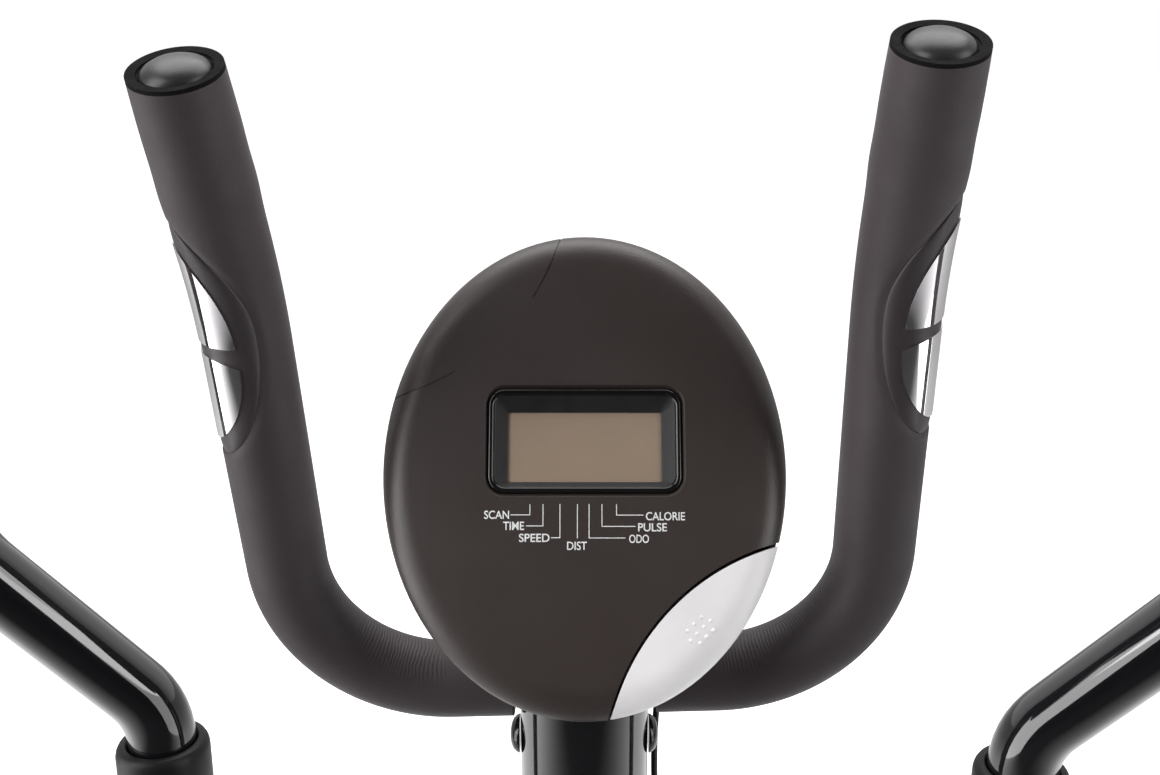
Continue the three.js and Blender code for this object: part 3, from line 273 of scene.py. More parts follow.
def makeFoam(name, look, wrinkle):
    # foam with fine folds round the inside of its bends, from the piece's own along and crease values; the
    # folds are bumped, and their valleys are darkened towards the shade colour as painted shade
    material, tree, shader = startMaterial(name, look)
    where = place3(tree)
    patches = ranged(tree, noise(tree, where, look["patch"], 5), 0, 1)
    colour = mixColours(tree, patches, look["dark"], look["light"])
    along = addNode(tree, "ShaderNodeAttribute", attribute_name="along").outputs["Fac"]
    crease = addNode(tree, "ShaderNodeAttribute", attribute_name="crease").outputs["Fac"]
    drift = maths(tree, "MULTIPLY", noise(tree, where, wrinkle["wander"], 3), wrinkle["drift"])
    phase = maths(tree, "ADD", maths(tree, "MULTIPLY", along, 2 * math.pi / wrinkle["pitch"]), drift)
    folds = maths(tree, "MULTIPLY", maths(tree, "SINE", phase), crease)
    # painted shade: the fold valleys are darkened towards the shade colour
    foldShade = ranged(tree, folds, 0, 0.3, 0.25, 1.0)
    link(tree, mixColours(tree, foldShade, colour, wrinkle["shade"]), shader.inputs["Base Color"])
    link(tree, ranged(tree, noise(tree, where, 40, 5), *look["rough"]), shader.inputs["Roughness"])
    pores = grained(tree, where, wrinkle["grain"])
    link(tree, bump(tree, folds, wrinkle["depth"], 0.0005, pores), shader.inputs["Normal"])
    return material


gripFoamFinish = makeFoam("grip_foam", looks["foam_rubber"], {
    "pitch": 2.1, "drift": 22.0, "wander": 55, "depth": 0.3, "shade": (0.008, 0.0075, 0.008),
    "grain": [("cells", 2300, 0.3, 0.00016), ("noise", 300, 0.14, 0.0004)]})
# painted shade: a near-black finish for the foam's end face and its rounded lip, round the plug
foamEndShade = makeFinish("foam_cut_end", {
    "dark": (0.003, 0.003, 0.003), "light": (0.006, 0.0055, 0.006), "patch": 60, "rough": (0.8, 0.95),
    "specular": 0.12, "grain": [("cells", 1300, 0.6, 0.0003)]})
plugFinish = makeFinish("grip_plug", {
    "dark": (0.02, 0.02, 0.0215), "light": (0.026, 0.026, 0.0275), "patch": 50, "rough": (0.3, 0.4),
    "specular": 0.4, "grain": [("noise", 1500, 0.16, 0.0001), ("noise", 260, 0.1, 0.0003)]})
housingFinish = makeFinish("sensor_housing", {
    "dark": (0.03, 0.0235, 0.025), "light": (0.038, 0.03, 0.032), "patch": 22, "rough": (0.38, 0.48),
    "grain": [("noise", 2300, 0.2, 0.00008)]})
bezelMatte = makeFinish("bezel_border", {
    "dark": (0.006, 0.0055, 0.0055), "light": (0.011, 0.01, 0.0095), "patch": 40, "rough": (0.45, 0.6),
    "grain": [("noise", 2400, 0.15, 0.00008)]})
legendInk = makeFinish("legend_ink", {
    "dark": (0.72, 0.72, 0.72), "light": (0.86, 0.86, 0.86), "patch": 400, "rough": (0.5, 0.65),
    "grain": [("noise", 3000, 0.2, 0.00005)]})
print("materials made")


# Making and placing pieces.
def finishPiece(bm, name, body, slot, place=metres, material=None, replaced=(), sharp=35, bevel=None,
                weld=0.004, more=()):
    # turns a drawn mesh into a finished piece; bevel and weld are in millimetres, sharp in degrees
    bmesh.ops.transform(bm, matrix=place, verts=bm.verts)
    bmesh.ops.remove_doubles(bm, verts=bm.verts, dist=weld / 1000)
    bmesh.ops.recalc_face_normals(bm, faces=bm.faces)
    for face in bm.faces:
        face.smooth = True
    mesh = bpy.data.meshes.new(name)
    bm.to_mesh(mesh)
    bm.free()
    mesh.set_sharp_from_angle(angle=math.radians(sharp))
    piece = bpy.data.objects.new(name, mesh)
    bpy.context.collection.objects.link(piece)
    for each in (material or finishes[slot], *more):
        mesh.materials.append(each)
    if bevel:
        edge = piece.modifiers.new("edges", "BEVEL")
        edge.width = bevel / 1000
        edge.segments = 3
        edge.limit_method = "ANGLE"
        edge.angle_limit = math.radians(sharp)
        edge.harden_normals = True
        edge.use_clamp_overlap = True
    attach(piece, body)
    if replaced:
        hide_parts(*replaced)
    return piece


def turned(profile, place=upright, steps=64):
    # a profile of (radius, height) points turned about Z
    bm = bmesh.new()
    points = [bm.verts.new((radius, 0, height)) for radius, height in profile]
    edges = [bm.edges.new(pair) for pair in zip(points, points[1:])]
    bmesh.ops.spin(bm, geom=points + edges, cent=(0, 0, 0), axis=(0, 0, 1), angle=2 * math.pi,
                   steps=steps, use_merge=True, use_duplicate=False)
    bmesh.ops.remove_doubles(bm, verts=bm.verts, dist=0.001)
    bmesh.ops.recalc_face_normals(bm, faces=bm.faces)
    bmesh.ops.transform(bm, matrix=place, verts=bm.verts)
    return bm


def closed(profile):
    return [*profile, profile[0]]


def joined(first, *others):
    # adds the other meshes to the first, as they are
    for other in others:
        mesh = bpy.data.meshes.new("part")
        other.to_mesh(mesh)
        other.free()
        first.from_mesh(mesh)
        bpy.data.meshes.remove(mesh)
    return first


def combined(first, second, operation):
    # one solid from two: UNION, DIFFERENCE or INTERSECT
    pair = []
    for bm in (first, second):
        mesh = bpy.data.meshes.new("part")
        bm.to_mesh(mesh)
        bm.free()
        made = bpy.data.objects.new("part", mesh)
        bpy.context.collection.objects.link(made)
        pair.append(made)
    cut = pair[0].modifiers.new("cut", "BOOLEAN")
    cut.operation = operation
    cut.solver = "EXACT"
    cut.object = pair[1]
    bpy.context.view_layer.update()
    result = pair[0].evaluated_get(bpy.context.evaluated_depsgraph_get()).to_mesh()
    bm = bmesh.new()
    bm.from_mesh(result)
    for made in pair:
        mesh = made.data
        bpy.data.objects.remove(made)
        bpy.data.meshes.remove(mesh)
    return bm


def block(low, high):
    bm = bmesh.new()
    bmesh.ops.create_cube(bm, size=1)
    bmesh.ops.scale(bm, vec=[b - a for a, b in zip(low, high)], verts=bm.verts)
    bmesh.ops.translate(bm, vec=[(a + b) / 2 for a, b in zip(low, high)], verts=bm.verts)
    return bm


def rod(radius, start, end, axis="Z", centre=(0, 0, 0), steps=48, inner=None):
    # a round bar along an axis, from start to end, bored through when inner is given
    if inner is None:
        profile = [(0, start), (radius, start), (radius, end), (0, end)]
    else:
        profile = closed([(inner, start), (radius, start), (radius, end), (inner, end)])
    turn = {"Z": upright, "X": turnAbout("Y", 90), "Y": turnAbout("X", -90)}[axis]
    return turned(profile, Matrix.Translation(centre) @ turn, steps)


def softened(node, bevel):
    # a neat copy of a CAD node, with its loose triangles merged and its edges rounded
    bm = bmesh.new()
    bm.from_mesh(nodes[node].data)
    bmesh.ops.remove_doubles(bm, verts=bm.verts, dist=0.00002)
    bmesh.ops.dissolve_limit(bm, angle_limit=math.radians(1.5), verts=bm.verts, edges=bm.edges)
    finishPiece(bm, node + "_finished", nodes[node]["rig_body"], slotOf[node], upright, replaced=(node,),
                bevel=bevel, weld=0.002)


# Runs: a line of straight stretches and arcs that tubes follow.
def roundedRun(corners, radii):
    places = [Vector(corners[0])]
    for before, corner, after, radius in zip(corners, corners[1:], corners[2:], radii):
        before, corner, after = Vector(before), Vector(corner), Vector(after)
        into, out = (corner - before).normalized(), (after - corner).normalized()
        turn = into.angle(out)
        start = corner - into * radius * math.tan(turn / 2)
        centre = start + (out - into * into.dot(out)).normalized() * radius
        axis = into.cross(out).normalized()
        steps = max(4, round(radius * turn / 2))
        for i in range(steps + 1):
            places.append(centre + Matrix.Rotation(turn * i / steps, 3, axis) @ (start - centre))
    places.append(Vector(corners[-1]))
    return places


class Run:
    # a run that gives the place and the frame at any distance along it

    def __init__(self, places):
        self.places = places
        self.reach = [0.0]
        for before, after in zip(places, places[1:]):
            self.reach.append(self.reach[-1] + (after - before).length)
        self.length = self.reach[-1]

    def at(self, distance):
        last = len(self.places) - 2
        i = 0
        while i < last and self.reach[i + 1] < distance:
            i += 1
        span = self.reach[i + 1] - self.reach[i]
        return self.places[i].lerp(self.places[i + 1], (distance - self.reach[i]) / span)

    def axes(self, distance):
        heading = (self.at(distance + 2) - self.at(distance - 2)).normalized()
        front = (Vector((0, 1, 0)) - heading * heading.y).normalized()
        return front, heading.cross(front), heading

    def matrix(self, distance, radius):
        front, side, heading = self.axes(distance)
        made = Matrix((front * radius, side * radius, heading)).transposed().to_4x4()
        made.translation = self.at(distance)
        return made

    def wrap(self, distance, angle, radius):
        front, side, _ = self.axes(distance)
        return self.at(distance) + (front * math.cos(angle) + side * math.sin(angle)) * radius


def vertsIn(made):
    return [item for item in made if isinstance(item, bmesh.types.BMVert)]


def ringEdges(verts):
    chosen = set(verts)
    return list({edge for vert in verts for edge in vert.link_edges if edge.other_vert(vert) in chosen})


def sweep(run, stations, steps=48):
    # a tube of rings, one at each (distance, radius) station; the last ring is bridged to the first
    bm = bmesh.new()
    along = bm.verts.layers.float.new("along")
    first = bmesh.ops.create_circle(bm, segments=steps, radius=1)["verts"]
    before = run.matrix(*stations[0])
    bmesh.ops.transform(bm, matrix=before, verts=first)
    for vert in first:
        vert[along] = stations[0][0]
    start = edges = ringEdges(first)
    for station in stations[1:]:
        made = bmesh.ops.extrude_edge_only(bm, edges=edges)["geom"]
        ring = vertsIn(made)
        after = run.matrix(*station)
        bmesh.ops.transform(bm, matrix=after @ before.inverted(), verts=ring)
        for vert in ring:
            vert[along] = station[0]
        edges, before = ringEdges(ring), after
    bmesh.ops.bridge_loops(bm, edges=start + edges)
    return bm


def evenly(start, end, spacing):
    count = max(1, round((end - start) / spacing))
    return [start + (end - start) * i / count for i in range(count + 1)]


smoothRadius = 136  # foam wrinkles only in bends tighter than this


def markCreases(bm, run, reach):
    # crease is greatest on the inside of a tight bend and falls to 0 round the tube and along the straights
    along = bm.verts.layers.float["along"]
    crease = bm.verts.layers.float.new("crease")
    for vert in bm.verts:
        here = vert[along]
        bend = run.axes(here + reach)[2] - run.axes(here - reach)[2]
        if bend.length < 0.02:
            continue
        out = (vert.co - run.at(here)).normalized()
        tight = min(1.0, max(0.0, bend.length / (2 * reach) * smoothRadius - 1))
        vert[crease] = tight * max(0.0, out.dot(bend.normalized()) - 0.45) ** 1.1


# Cable from the console's back to the grommet in the post.
cable = {
    "radius": 1.6,
    "route": [(42, -5.3, 56.07), (42, 12, 48), (40.5, 21, 30), (38, 23, 8), (36.3, 21.5, -16),
              (34.6, 15, -38), (34.2, 9, -58), (35.6, 6, -82), (37.2, 4, -110), (38.8, 2, -140),
              (41, 1, -165), (43.5, 0.3, -184), (42.6, 0, -195.5), (39.4, 0, -200), (34.9, 0, -200)],
}


def smoothRoute(route, steps):
    # a centripetal curve through the points
    points = [Vector(p) for p in route]
    points = [2 * points[0] - points[1], *points, 2 * points[-1] - points[-2]]
    line = []
    for a, b, c, d in zip(points, points[1:], points[2:], points[3:]):
        t0 = 0.0
        t1 = t0 + (b - a).length ** 0.5
        t2 = t1 + (c - b).length ** 0.5
        t3 = t2 + (d - c).length ** 0.5
        for i in range(steps):
            t = t1 + (t2 - t1) * i / steps
            ab = a.lerp(b, (t - t0) / (t1 - t0))
            bc = b.lerp(c, (t - t1) / (t2 - t1))
            cd = c.lerp(d, (t - t2) / (t3 - t2))
            abc = ab.lerp(bc, (t - t0) / (t2 - t0))
            bcd = bc.lerp(cd, (t - t1) / (t3 - t1))
            line.append(abc.lerp(bcd, (t - t1) / (t2 - t1)))
    return [*line, points[-2]]


def makeCable():
    lift = metres @ Matrix.Translation((0, machine["postForward"], machine["barHeight"]))
    line = [lift @ point for point in smoothRoute(cable["route"], 5)]
    data = bpy.data.curves.new("sensor_lead", "CURVE")
    data.dimensions = "3D"
    data.bevel_depth = cable["radius"] / 1000
    data.bevel_resolution = 4
    data.use_fill_caps = True
    spline = data.splines.new("POLY")
    spline.points.add(len(line) - 1)
    for point, place in zip(spline.points, line):
        point.co = (*place, 1)
    data.materials.append(finishes["black_rubber"])
    lead = bpy.data.objects.new("sensor_lead", data)
    bpy.context.collection.objects.link(lead)
    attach(lead, "base")
    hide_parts("sensor_cable")


makeCable()


# The fixed handlebar with its foam, plugs and sensors.
bar = {
    "tube": 12.7, "bore": 10.9, "foam": 17.5, "foamStart": 33, "foamOver": 3, "halfSpacing": 129,
    "rise": 196, "lean": 10, "tip": 92.6, "tipLean": 24.8, "radii": (68, 178),
    "housingFromEnd": 52.5, "housing": 105, "sensorTurn": 27, "halfWrap": 94, "pocket": 14.4,
}
armLean, tipLean = math.radians(bar["lean"]), math.radians(bar["tipLean"])
elbow = Vector((bar["halfSpacing"], -bar["rise"] * math.sin(armLean), bar["rise"] * math.cos(armLean)))
tip = elbow + bar["tip"] * Vector((0, -math.sin(tipLean), math.cos(tipLean)))
barRun = Run(roundedRun([(0, 0, 0), (bar["halfSpacing"], 0, 0), elbow, tip], bar["radii"]))
sensorTurn = math.radians(bar["sensorTurn"])
sensorAngle = math.atan2(-math.cos(sensorTurn), -math.sin(sensorTurn))
housingStart = barRun.length - bar["housingFromEnd"] - bar["housing"]


def housingWidth(u):
    # the sensor housing's half angle at u, 0 at its lower end and 1 at its upper end
    if not 0 < u < 1:
        return 0.0
    power = 0.4 + 0.2 * min(1, max(0, (u - 0.5) / 0.2))
    return math.radians(bar["halfWrap"]) * math.sin(math.pi * u) ** power


def makeBarTube():
    half = [(bar["halfSpacing"], 0, 0), tuple(elbow), tuple(tip)]
    corners = [(-x, y, z) for x, y, z in reversed(half)] + half
    whole = Run(roundedRun(corners, (bar["radii"][1], *[bar["radii"][0]] * 2, bar["radii"][1])))
    places = evenly(0, whole.length, 6)
    outer = [(place, bar["tube"]) for place in places]
    inner = [(place, bar["bore"]) for place in reversed(places)]
    finishPiece(sweep(whole, outer + inner, 40), "bar_tube", "base", "black_gloss_paint", barPlace,
                replaced=("handlebar_tube",), sharp=50)


# The foam of the handlebar: its bore, its rounded lips, the roll down to the sensor's seam, the narrowing
# towards the open end and the small swelling above the sensor.
sleeve = {"bore": 13.0, "mouth": 13.2, "lip": 1.6, "rollDepth": 0.75, "rollWidth": 0.2, "pocketEdge": 0.13,
          "narrowing": 0.8, "narrowLength": 26, "swell": 0.4, "swellPlace": 9, "swellLength": 9}


def foamReach(here, inside, end):
    # the foam's radius; inside is how far, as an angle, a place lies within the sensor's outline
    if inside > sleeve["pocketEdge"]:
        return bar["pocket"]
    roll = min(1.0, max(0.0, (inside + sleeve["rollWidth"]) / sleeve["rollWidth"]))
    narrow = min(1.0, max(0.0, (here - end + sleeve["narrowLength"]) / sleeve["narrowLength"]))
    fromSwell = (here - housingStart - bar["housing"] - sleeve["swellPlace"]) / sleeve["swellLength"]
    reach = bar["foam"] - sleeve["rollDepth"] * roll * roll * (3 - 2 * roll)
    return reach - sleeve["narrowing"] * narrow ** 1.5 + sleeve["swell"] * math.exp(-fromSwell ** 2)


def makeGrip(side, mirror):
    begin, end = bar["foamStart"], barRun.length + bar["foamOver"]
    lip, radius, mouth = sleeve["lip"], bar["foam"], sleeve["mouth"]
    start = [(begin, mouth), (begin, radius - lip), (begin + 0.3 * lip, radius - 0.3 * lip)]
    outer = [(place, radius) for place in evenly(begin + lip, end - lip, 1.8)]
    finish = [(end - 0.3 * lip, radius - 0.3 * lip), (end, radius - lip), (end - 0.3, mouth)]
    inner = [(place, sleeve["bore"]) for place in reversed(evenly(begin + 1, end - 1, 8))]
    bm = sweep(barRun, start + outer + finish + inner, 90)
    along = bm.verts.layers.float["along"]
    for vert in bm.verts:
        here = vert[along]
        front, across, _ = barRun.axes(here)
        out = vert.co - barRun.at(here)
        if out.length < radius - 1.2 * lip:
            continue
        angle = math.atan2(out.dot(across), out.dot(front)) - sensorAngle
        angle = (angle + math.pi) % (2 * math.pi) - math.pi
        u = (here - housingStart) / bar["housing"]
        width = housingWidth(min(0.999, max(0.001, u))) if -0.01 < u < 1.01 else 0.0
        inside = width - abs(angle) if width else -1.0
        vert.co = barRun.at(here) + out.normalized() * foamReach(here, inside, end)
    markCreases(bm, barRun, 5)
    # the end face and its rounded lip take the near-black second material, painted shade round the plug
    for face in bm.faces:
        if min(vert[along] for vert in face.verts) > end - lip - 0.1:
            face.material_index = 1
    piece = finishPiece(bm, "grip_sleeve_" + side, "base", "foam_rubber", barPlace @ mirror, gripFoamFinish,
                        ("grip_foam_" + side,), 60, more=(foamEndShade,))


def makePlug(side, mirror):
    dome = [(0, 6.0), (3, 5.88), (6, 5.45), (8.6, 4.75), (10.8, 3.6), (12.1, 2.2), (12.6, 0.9), (12.6, 0.3),
            (10.6, 0.0), (10.6, -18), (0, -18)]
    place = Matrix.Translation(tip) @ turnAbout("X", bar["tipLean"])
    finishPiece(turned(dome, place, 64), "arm_plug_" + side, "base", "gloss_black_plastic", barPlace @ mirror,
                plugFinish, ("grip_plug_" + side,), 50)


# The pulse sensors: a housing wrapped round the arm, with two bright contact plates let into it.
sensor = {
    "edgeDrop": 0.8, "crown": 0.95, "shellWall": 2.2, "plateRise": 0.7, "plateWall": 1.3,
    "lower": {"from": 6.5, "to": 45.0, "bow": 4.5, "halfWrap": 65.5, "powers": (2.2, 0.6)},
    "upper": {"from": 50.0, "to": 95.0, "bow": 0.0, "halfWrap": 65, "powers": (1.9, 0.62)},
}


def outwards(bm):
    # turns the sheet's faces away from the arm
    middle = barRun.at(housingStart + 50)
    facing = sum(face.normal.dot(face.calc_center_median() - middle) for face in bm.faces)
    if facing < 0:
        bmesh.ops.reverse_faces(bm, faces=bm.faces)
    return bm


def makeHousing(side, mirror):
    low, high = housingStart + 0.2, housingStart + bar["housing"] - 0.2
    bm = bmesh.new()
    bmesh.ops.create_grid(bm, x_segments=34, y_segments=60, size=1)
    for vert in bm.verts:
        across = math.sin(vert.co.x * math.pi / 2)
        up = 0.5 - 0.5 * math.cos(math.pi * (vert.co.y + 1) / 2)
        here = low + (high - low) * up
        rim = 1 - max(abs(across) ** 6, abs(2 * up - 1) ** 10)
        radius = bar["foam"] - sensor["edgeDrop"] + sensor["crown"] * rim ** 0.5
        width = housingWidth((here - housingStart) / bar["housing"])
        vert.co = barRun.wrap(here, sensorAngle + across * width, radius)
    bmesh.ops.remove_doubles(bm, verts=bm.verts, dist=0.02)
    bmesh.ops.recalc_face_normals(bm, faces=bm.faces)
    bmesh.ops.solidify(outwards(bm), geom=bm.faces[:], thickness=sensor["shellWall"])
    finishPiece(bm, "sensor_shell_" + side, "base", "black_matte_plastic", barPlace @ mirror, housingFinish,
                ("pulse_housing_" + side,), 45)


def makeContact(level, side, mirror):
    # a plate with its pointed end away from the other plate
    facts = sensor[level]
    low, high = housingStart + facts["from"], housingStart + facts["to"]
    start, end = facts["powers"]
    bm = bmesh.new()
    bmesh.ops.create_grid(bm, x_segments=24, y_segments=32, size=1)
    for vert in bm.verts:
        across, up = math.sin(vert.co.x * math.pi / 2), (vert.co.y + 1) / 2
        here = low + (high - facts["bow"] * across ** 2 - low) * up
        pointed = up if level == "upper" else 1 - up
        width = math.radians(facts["halfWrap"]) * (1 - pointed ** start) ** end
        vert.co = barRun.wrap(here, sensorAngle + across * width, bar["foam"] + sensor["plateRise"])
    bmesh.ops.remove_doubles(bm, verts=bm.verts, dist=0.05)
    bmesh.ops.recalc_face_normals(bm, faces=bm.faces)
    bmesh.ops.solidify(outwards(bm), geom=bm.faces[:], thickness=sensor["plateWall"])
    finishPiece(bm, f"contact_{level}_{side}", "base", "sensor_chrome", barPlace @ mirror,
                replaced=(f"contact_plate_{level}_{side}",), sharp=40, bevel=0.45)


makeBarTube()
for side, mirror in sides:
    makeGrip(side, mirror)
    makePlug(side, mirror)
    makeHousing(side, mirror)
    makeContact("lower", side, mirror)
    makeContact("upper", side, mirror)
print("handlebar made")


# The console, drawn with its face towards +Z.
console = {
    "half": 87, "tall": 104.7, "face": 12, "crown": 1.5, "round": 13, "skirt": 3, "wall": 2.5,
    "window": (82, 44.3), "rise": 12.3, "display": (65, 29.7), "drop": 2.6, "corner": 7,
    "arc": (105.1, -125.9), "reach": 97.2, "gap": 0.9, "widening": 0.5,
    "opening": {"room": 0.6, "corner": 7.3, "flare": 3.4, "flareCorner": 8.7, "flareFrom": 11.3,
                "flareTo": 12.9},
    "groove": {"outer": 0.35, "inner": 1.0, "depth": 0.3, "from": 66},
}
oval = Matrix.Scale(console["tall"] / console["half"], 4, (0, 1, 0))


def crownAt(x, y):
    reach = math.hypot(x, y * console["half"] / console["tall"]) / (console["half"] - console["round"])
    return console["face"] + console["crown"] * (1 - min(1, reach) ** 2)


def consoleSolid(grow=0.0, floor=None):
    flat = console["half"] - console["round"]
    depth = console["face"]
    profile = [(flat * i / 8, crownAt(flat * i / 8, 0) + grow) for i in range(8)]
    for i in range(11):
        angle = math.pi / 2 * (1 - i / 10)
        profile.append((flat + (console["round"] + grow) * math.cos(angle), (depth + grow) * math.sin(angle)))
    low = -console["skirt"] if floor is None else floor
    profile += [(console["half"] + grow, low), (0, low)]
    return turned(profile, oval, 128)


def roundedLoop(bm, width, height, radius, middle, z):
    # a ring of vertices round a rectangle with round corners
    steps = 8
    ring = bmesh.ops.create_circle(bm, segments=4 * (steps + 1), radius=1)["verts"]
    for i, vert in enumerate(ring):
        corner, step = divmod(i, steps + 1)
        angle = math.pi / 2 * (corner + step / steps)
        signX, signY = ((1, 1), (-1, 1), (-1, -1), (1, -1))[corner]
        vert.co = (signX * (width / 2 - radius) + radius * math.cos(angle),
                   middle + signY * (height / 2 - radius) + radius * math.sin(angle), z)
    return ring


def stacked(loops, close=True):
    # bridges a row of rounded loops; with close the two ends are filled, otherwise joined to each other
    bm = bmesh.new()
    rings = [ringEdges(roundedLoop(bm, *loop)) for loop in loops]
    for before, after in zip(rings, rings[1:]):
        bmesh.ops.bridge_loops(bm, edges=before + after)
    if close:
        for ring in (rings[0], rings[-1]):
            bmesh.ops.contextual_create(bm, geom=ring)
    else:
        bmesh.ops.bridge_loops(bm, edges=rings[-1] + rings[0])
    bmesh.ops.recalc_face_normals(bm, faces=bm.faces)
    return bm


def windowOpening():
    # the display's opening, flared where it meets the face
    facts = console["opening"]
    width, height = console["window"]
    tight = (width + facts["room"], height + facts["room"], facts["corner"], console["rise"])
    wide = (width + facts["flare"], height + facts["flare"], facts["flareCorner"], console["rise"])
    return stacked([(*tight, -20), (*tight, facts["flareFrom"]), (*wide, facts["flareTo"]), (*wide, 30)])


def rimGroove(reach):
    # a shallow groove across the upper left of the rim, on the mode button's arc turned half round
    facts = console["groove"]
    arcX, arcY = console["arc"]
    groove = rod(reach - facts["outer"], -10, 30, "Z", (-arcX, -arcY, 0), 160, inner=reach - facts["inner"])
    groove = combined(groove, consoleSolid(-facts["depth"], -20), "DIFFERENCE")
    middle = rod(facts["from"], -50, 50, steps=96)
    bmesh.ops.transform(middle, matrix=oval, verts=middle.verts)
    return combined(groove, middle, "DIFFERENCE")


def makeConsoleFront():
    shell = combined(consoleSolid(), consoleSolid(-console["wall"], -30), "DIFFERENCE")
    reach = console["reach"] + console["gap"]
    shell = combined(shell, rod(reach, -40, 40, "Z", (*console["arc"], 0), 160), "DIFFERENCE")
    shell = combined(shell, windowOpening(), "DIFFERENCE")
    shell = combined(shell, rimGroove(reach), "DIFFERENCE")
    finishPiece(shell, "console_shell", "base", "charcoal_plastic", consolePlace, replaced=("console_front",),
                sharp=32, bevel=0.7)


def makeModeButton():
    arcX, arcY = console["arc"]
    disc = rod(console["reach"], 0.4, 40, "Z", (arcX, arcY - console["widening"], 0), 160)
    pad = combined(consoleSolid(), disc, "INTERSECT")
    finishPiece(pad, "mode_pad", "button", "pearl_plastic", consolePlace, replaced=("mode_button",), sharp=32,
                bevel=0.9)


# Raised dots on the mode button: three rows on arcs round the same centre as its edge.
dots = {"rows": ((86, 3), (82.4, 4), (78.8, 3)), "heading": 134, "apart": 2.7, "radius": 0.85, "flat": 0.45,
        "sunk": 0.05}


def makeModeMarks():
    arcX, arcY = console["arc"]
    marks = bmesh.new()
    for row, count in dots["rows"]:
        for i in range(count):
            angle = math.radians(dots["heading"] + dots["apart"] * (i - (count - 1) / 2))
            x, y = arcX + row * math.cos(angle), arcY + row * math.sin(angle)
            made = bmesh.ops.create_uvsphere(marks, u_segments=12, v_segments=8, radius=dots["radius"])
            made = made["verts"]
            bmesh.ops.scale(marks, vec=(1, 1, dots["flat"]), verts=made)
            bmesh.ops.translate(marks, vec=(x, y, crownAt(x, y) - dots["sunk"]), verts=made)
    finishPiece(marks, "mode_marks", "button", "pearl_plastic", consolePlace, sharp=60)


def makeBezel():
    width, height = console["window"]
    middle = console["rise"]
    inWidth, inHeight = console["display"]
    inMiddle = middle - console["drop"]
    # the border's steps from the outside in: how far in, corner radius and height
    steps = [(0, 7, 10.2), (0, 7, 12.0), (0.5, 6.8, 12.55), (1.6, 6.3, 12.85), (3.4, 5.6, 12.75),
             (4.8, 5.0, 12.2), (5.4, 4.7, 11.4), (6.0, 4.4, 11.2)]
    loops = [(width - less, height - less, corner, middle, z) for less, corner, z in steps]
    loops += [(inWidth + 1.2, inHeight + 1.2, 1.4, inMiddle, 10.75), (inWidth, inHeight, 0.9, inMiddle, 10.4),
              (inWidth, inHeight, 0.9, inMiddle, 10.15)]
    bm = stacked(loops, close=False)
    for face in bm.faces:
        centre = face.calc_center_median()
        # the flat border inside the glossy frame is matt
        if 10.17 < centre.z < 11.35 and abs(centre.x) < width / 2 - 2.6:
            face.material_index = 1
    finishPiece(bm, "display_bezel", "base", "gloss_black_plastic", consolePlace,
                replaced=("display_window",), sharp=38, more=(bezelMatte,))


# White legends under the display: each word with its left end, width and baseline, then the leader lines,
# each from its outer end to the place where it turns up to the display, and its height.
legends = {
    "size": 3.5, "line": 0.36, "lift": 0.06, "ink": 0.03,
    "words": [("SCAN", -42.2, 10.5, -20.8), ("TIME", -34.2, 8.8, -25.4), ("SPEED", -27.5, 12.8, -30.4),
              ("DIST", -7.4, 8.3, -33.7), ("ODO", 18.5, 8.3, -30.8), ("PULSE", 22.3, 12.1, -26.0),
              ("CALORIE", 25.6, 16.4, -21.4)],
    "top": -14.8,
    "leaders": [(-30.9, -23, -19.1), (-24.4, -17.5, -23.7), (-13.9, -10.4, -28.6), (-3.1, -3.1, -28.7),
                (16.8, 1.8, -28.7), (21, 7.2, -23.9), (24.4, 13.3, -19.2)],
}


def wordMesh(word, left, wide, base):
    data = bpy.data.curves.new("word", "FONT")
    data.body = word
    data.size = 5
    data.offset = 0.07
    data.extrude = legends["ink"]
    made = bpy.data.objects.new("word", data)
    bpy.context.collection.objects.link(made)
    bpy.context.view_layer.update()
    mesh = bpy.data.meshes.new_from_object(made)
    bpy.data.objects.remove(made)
    low = [min(v.co[i] for v in mesh.vertices) for i in range(2)]
    high = [max(v.co[i] for v in mesh.vertices) for i in range(2)]
    fit = (wide / (high[0] - low[0]), legends["size"] / (high[1] - low[1]))
    for vert in mesh.vertices:
        vert.co.x = left + (vert.co.x - low[0]) * fit[0]
        vert.co.y = base + (vert.co.y - low[1]) * fit[1]
    return mesh


def makeLegends():
    ink = bmesh.new()
    for facts in legends["words"]:
        mesh = wordMesh(*facts)
        ink.from_mesh(mesh)
        bpy.data.meshes.remove(mesh)
    half, thick = legends["line"] / 2, legends["ink"]
    for outer, inner, low in legends["leaders"]:
        corners = [(outer, low), (inner, low), (inner, legends["top"])]
        for (x0, y0), (x1, y1) in zip(corners, corners[1:]):
            if (x0, y0) == (x1, y1):
                continue
            joined(ink, block((min(x0, x1) - half, min(y0, y1) - half, -thick),
                              (max(x0, x1) + half, max(y0, y1) + half, thick)))
    for vert in ink.verts:
        vert.co.z += crownAt(vert.co.x, vert.co.y) + legends["lift"]
    finishPiece(ink, "face_legends", "base", "pearl_plastic", consolePlace, legendInk, sharp=30, weld=0.0005)


makeConsoleFront()
makeModeButton()
makeModeMarks()
makeBezel()
makeLegends()
print("console made")


# The post with its cross tube and bolt caps.
post = {"wall": 3, "crossRadius": 17, "crossReach": 181.5, "bolt": 31, "cap": 9, "capHeight": 4.6}


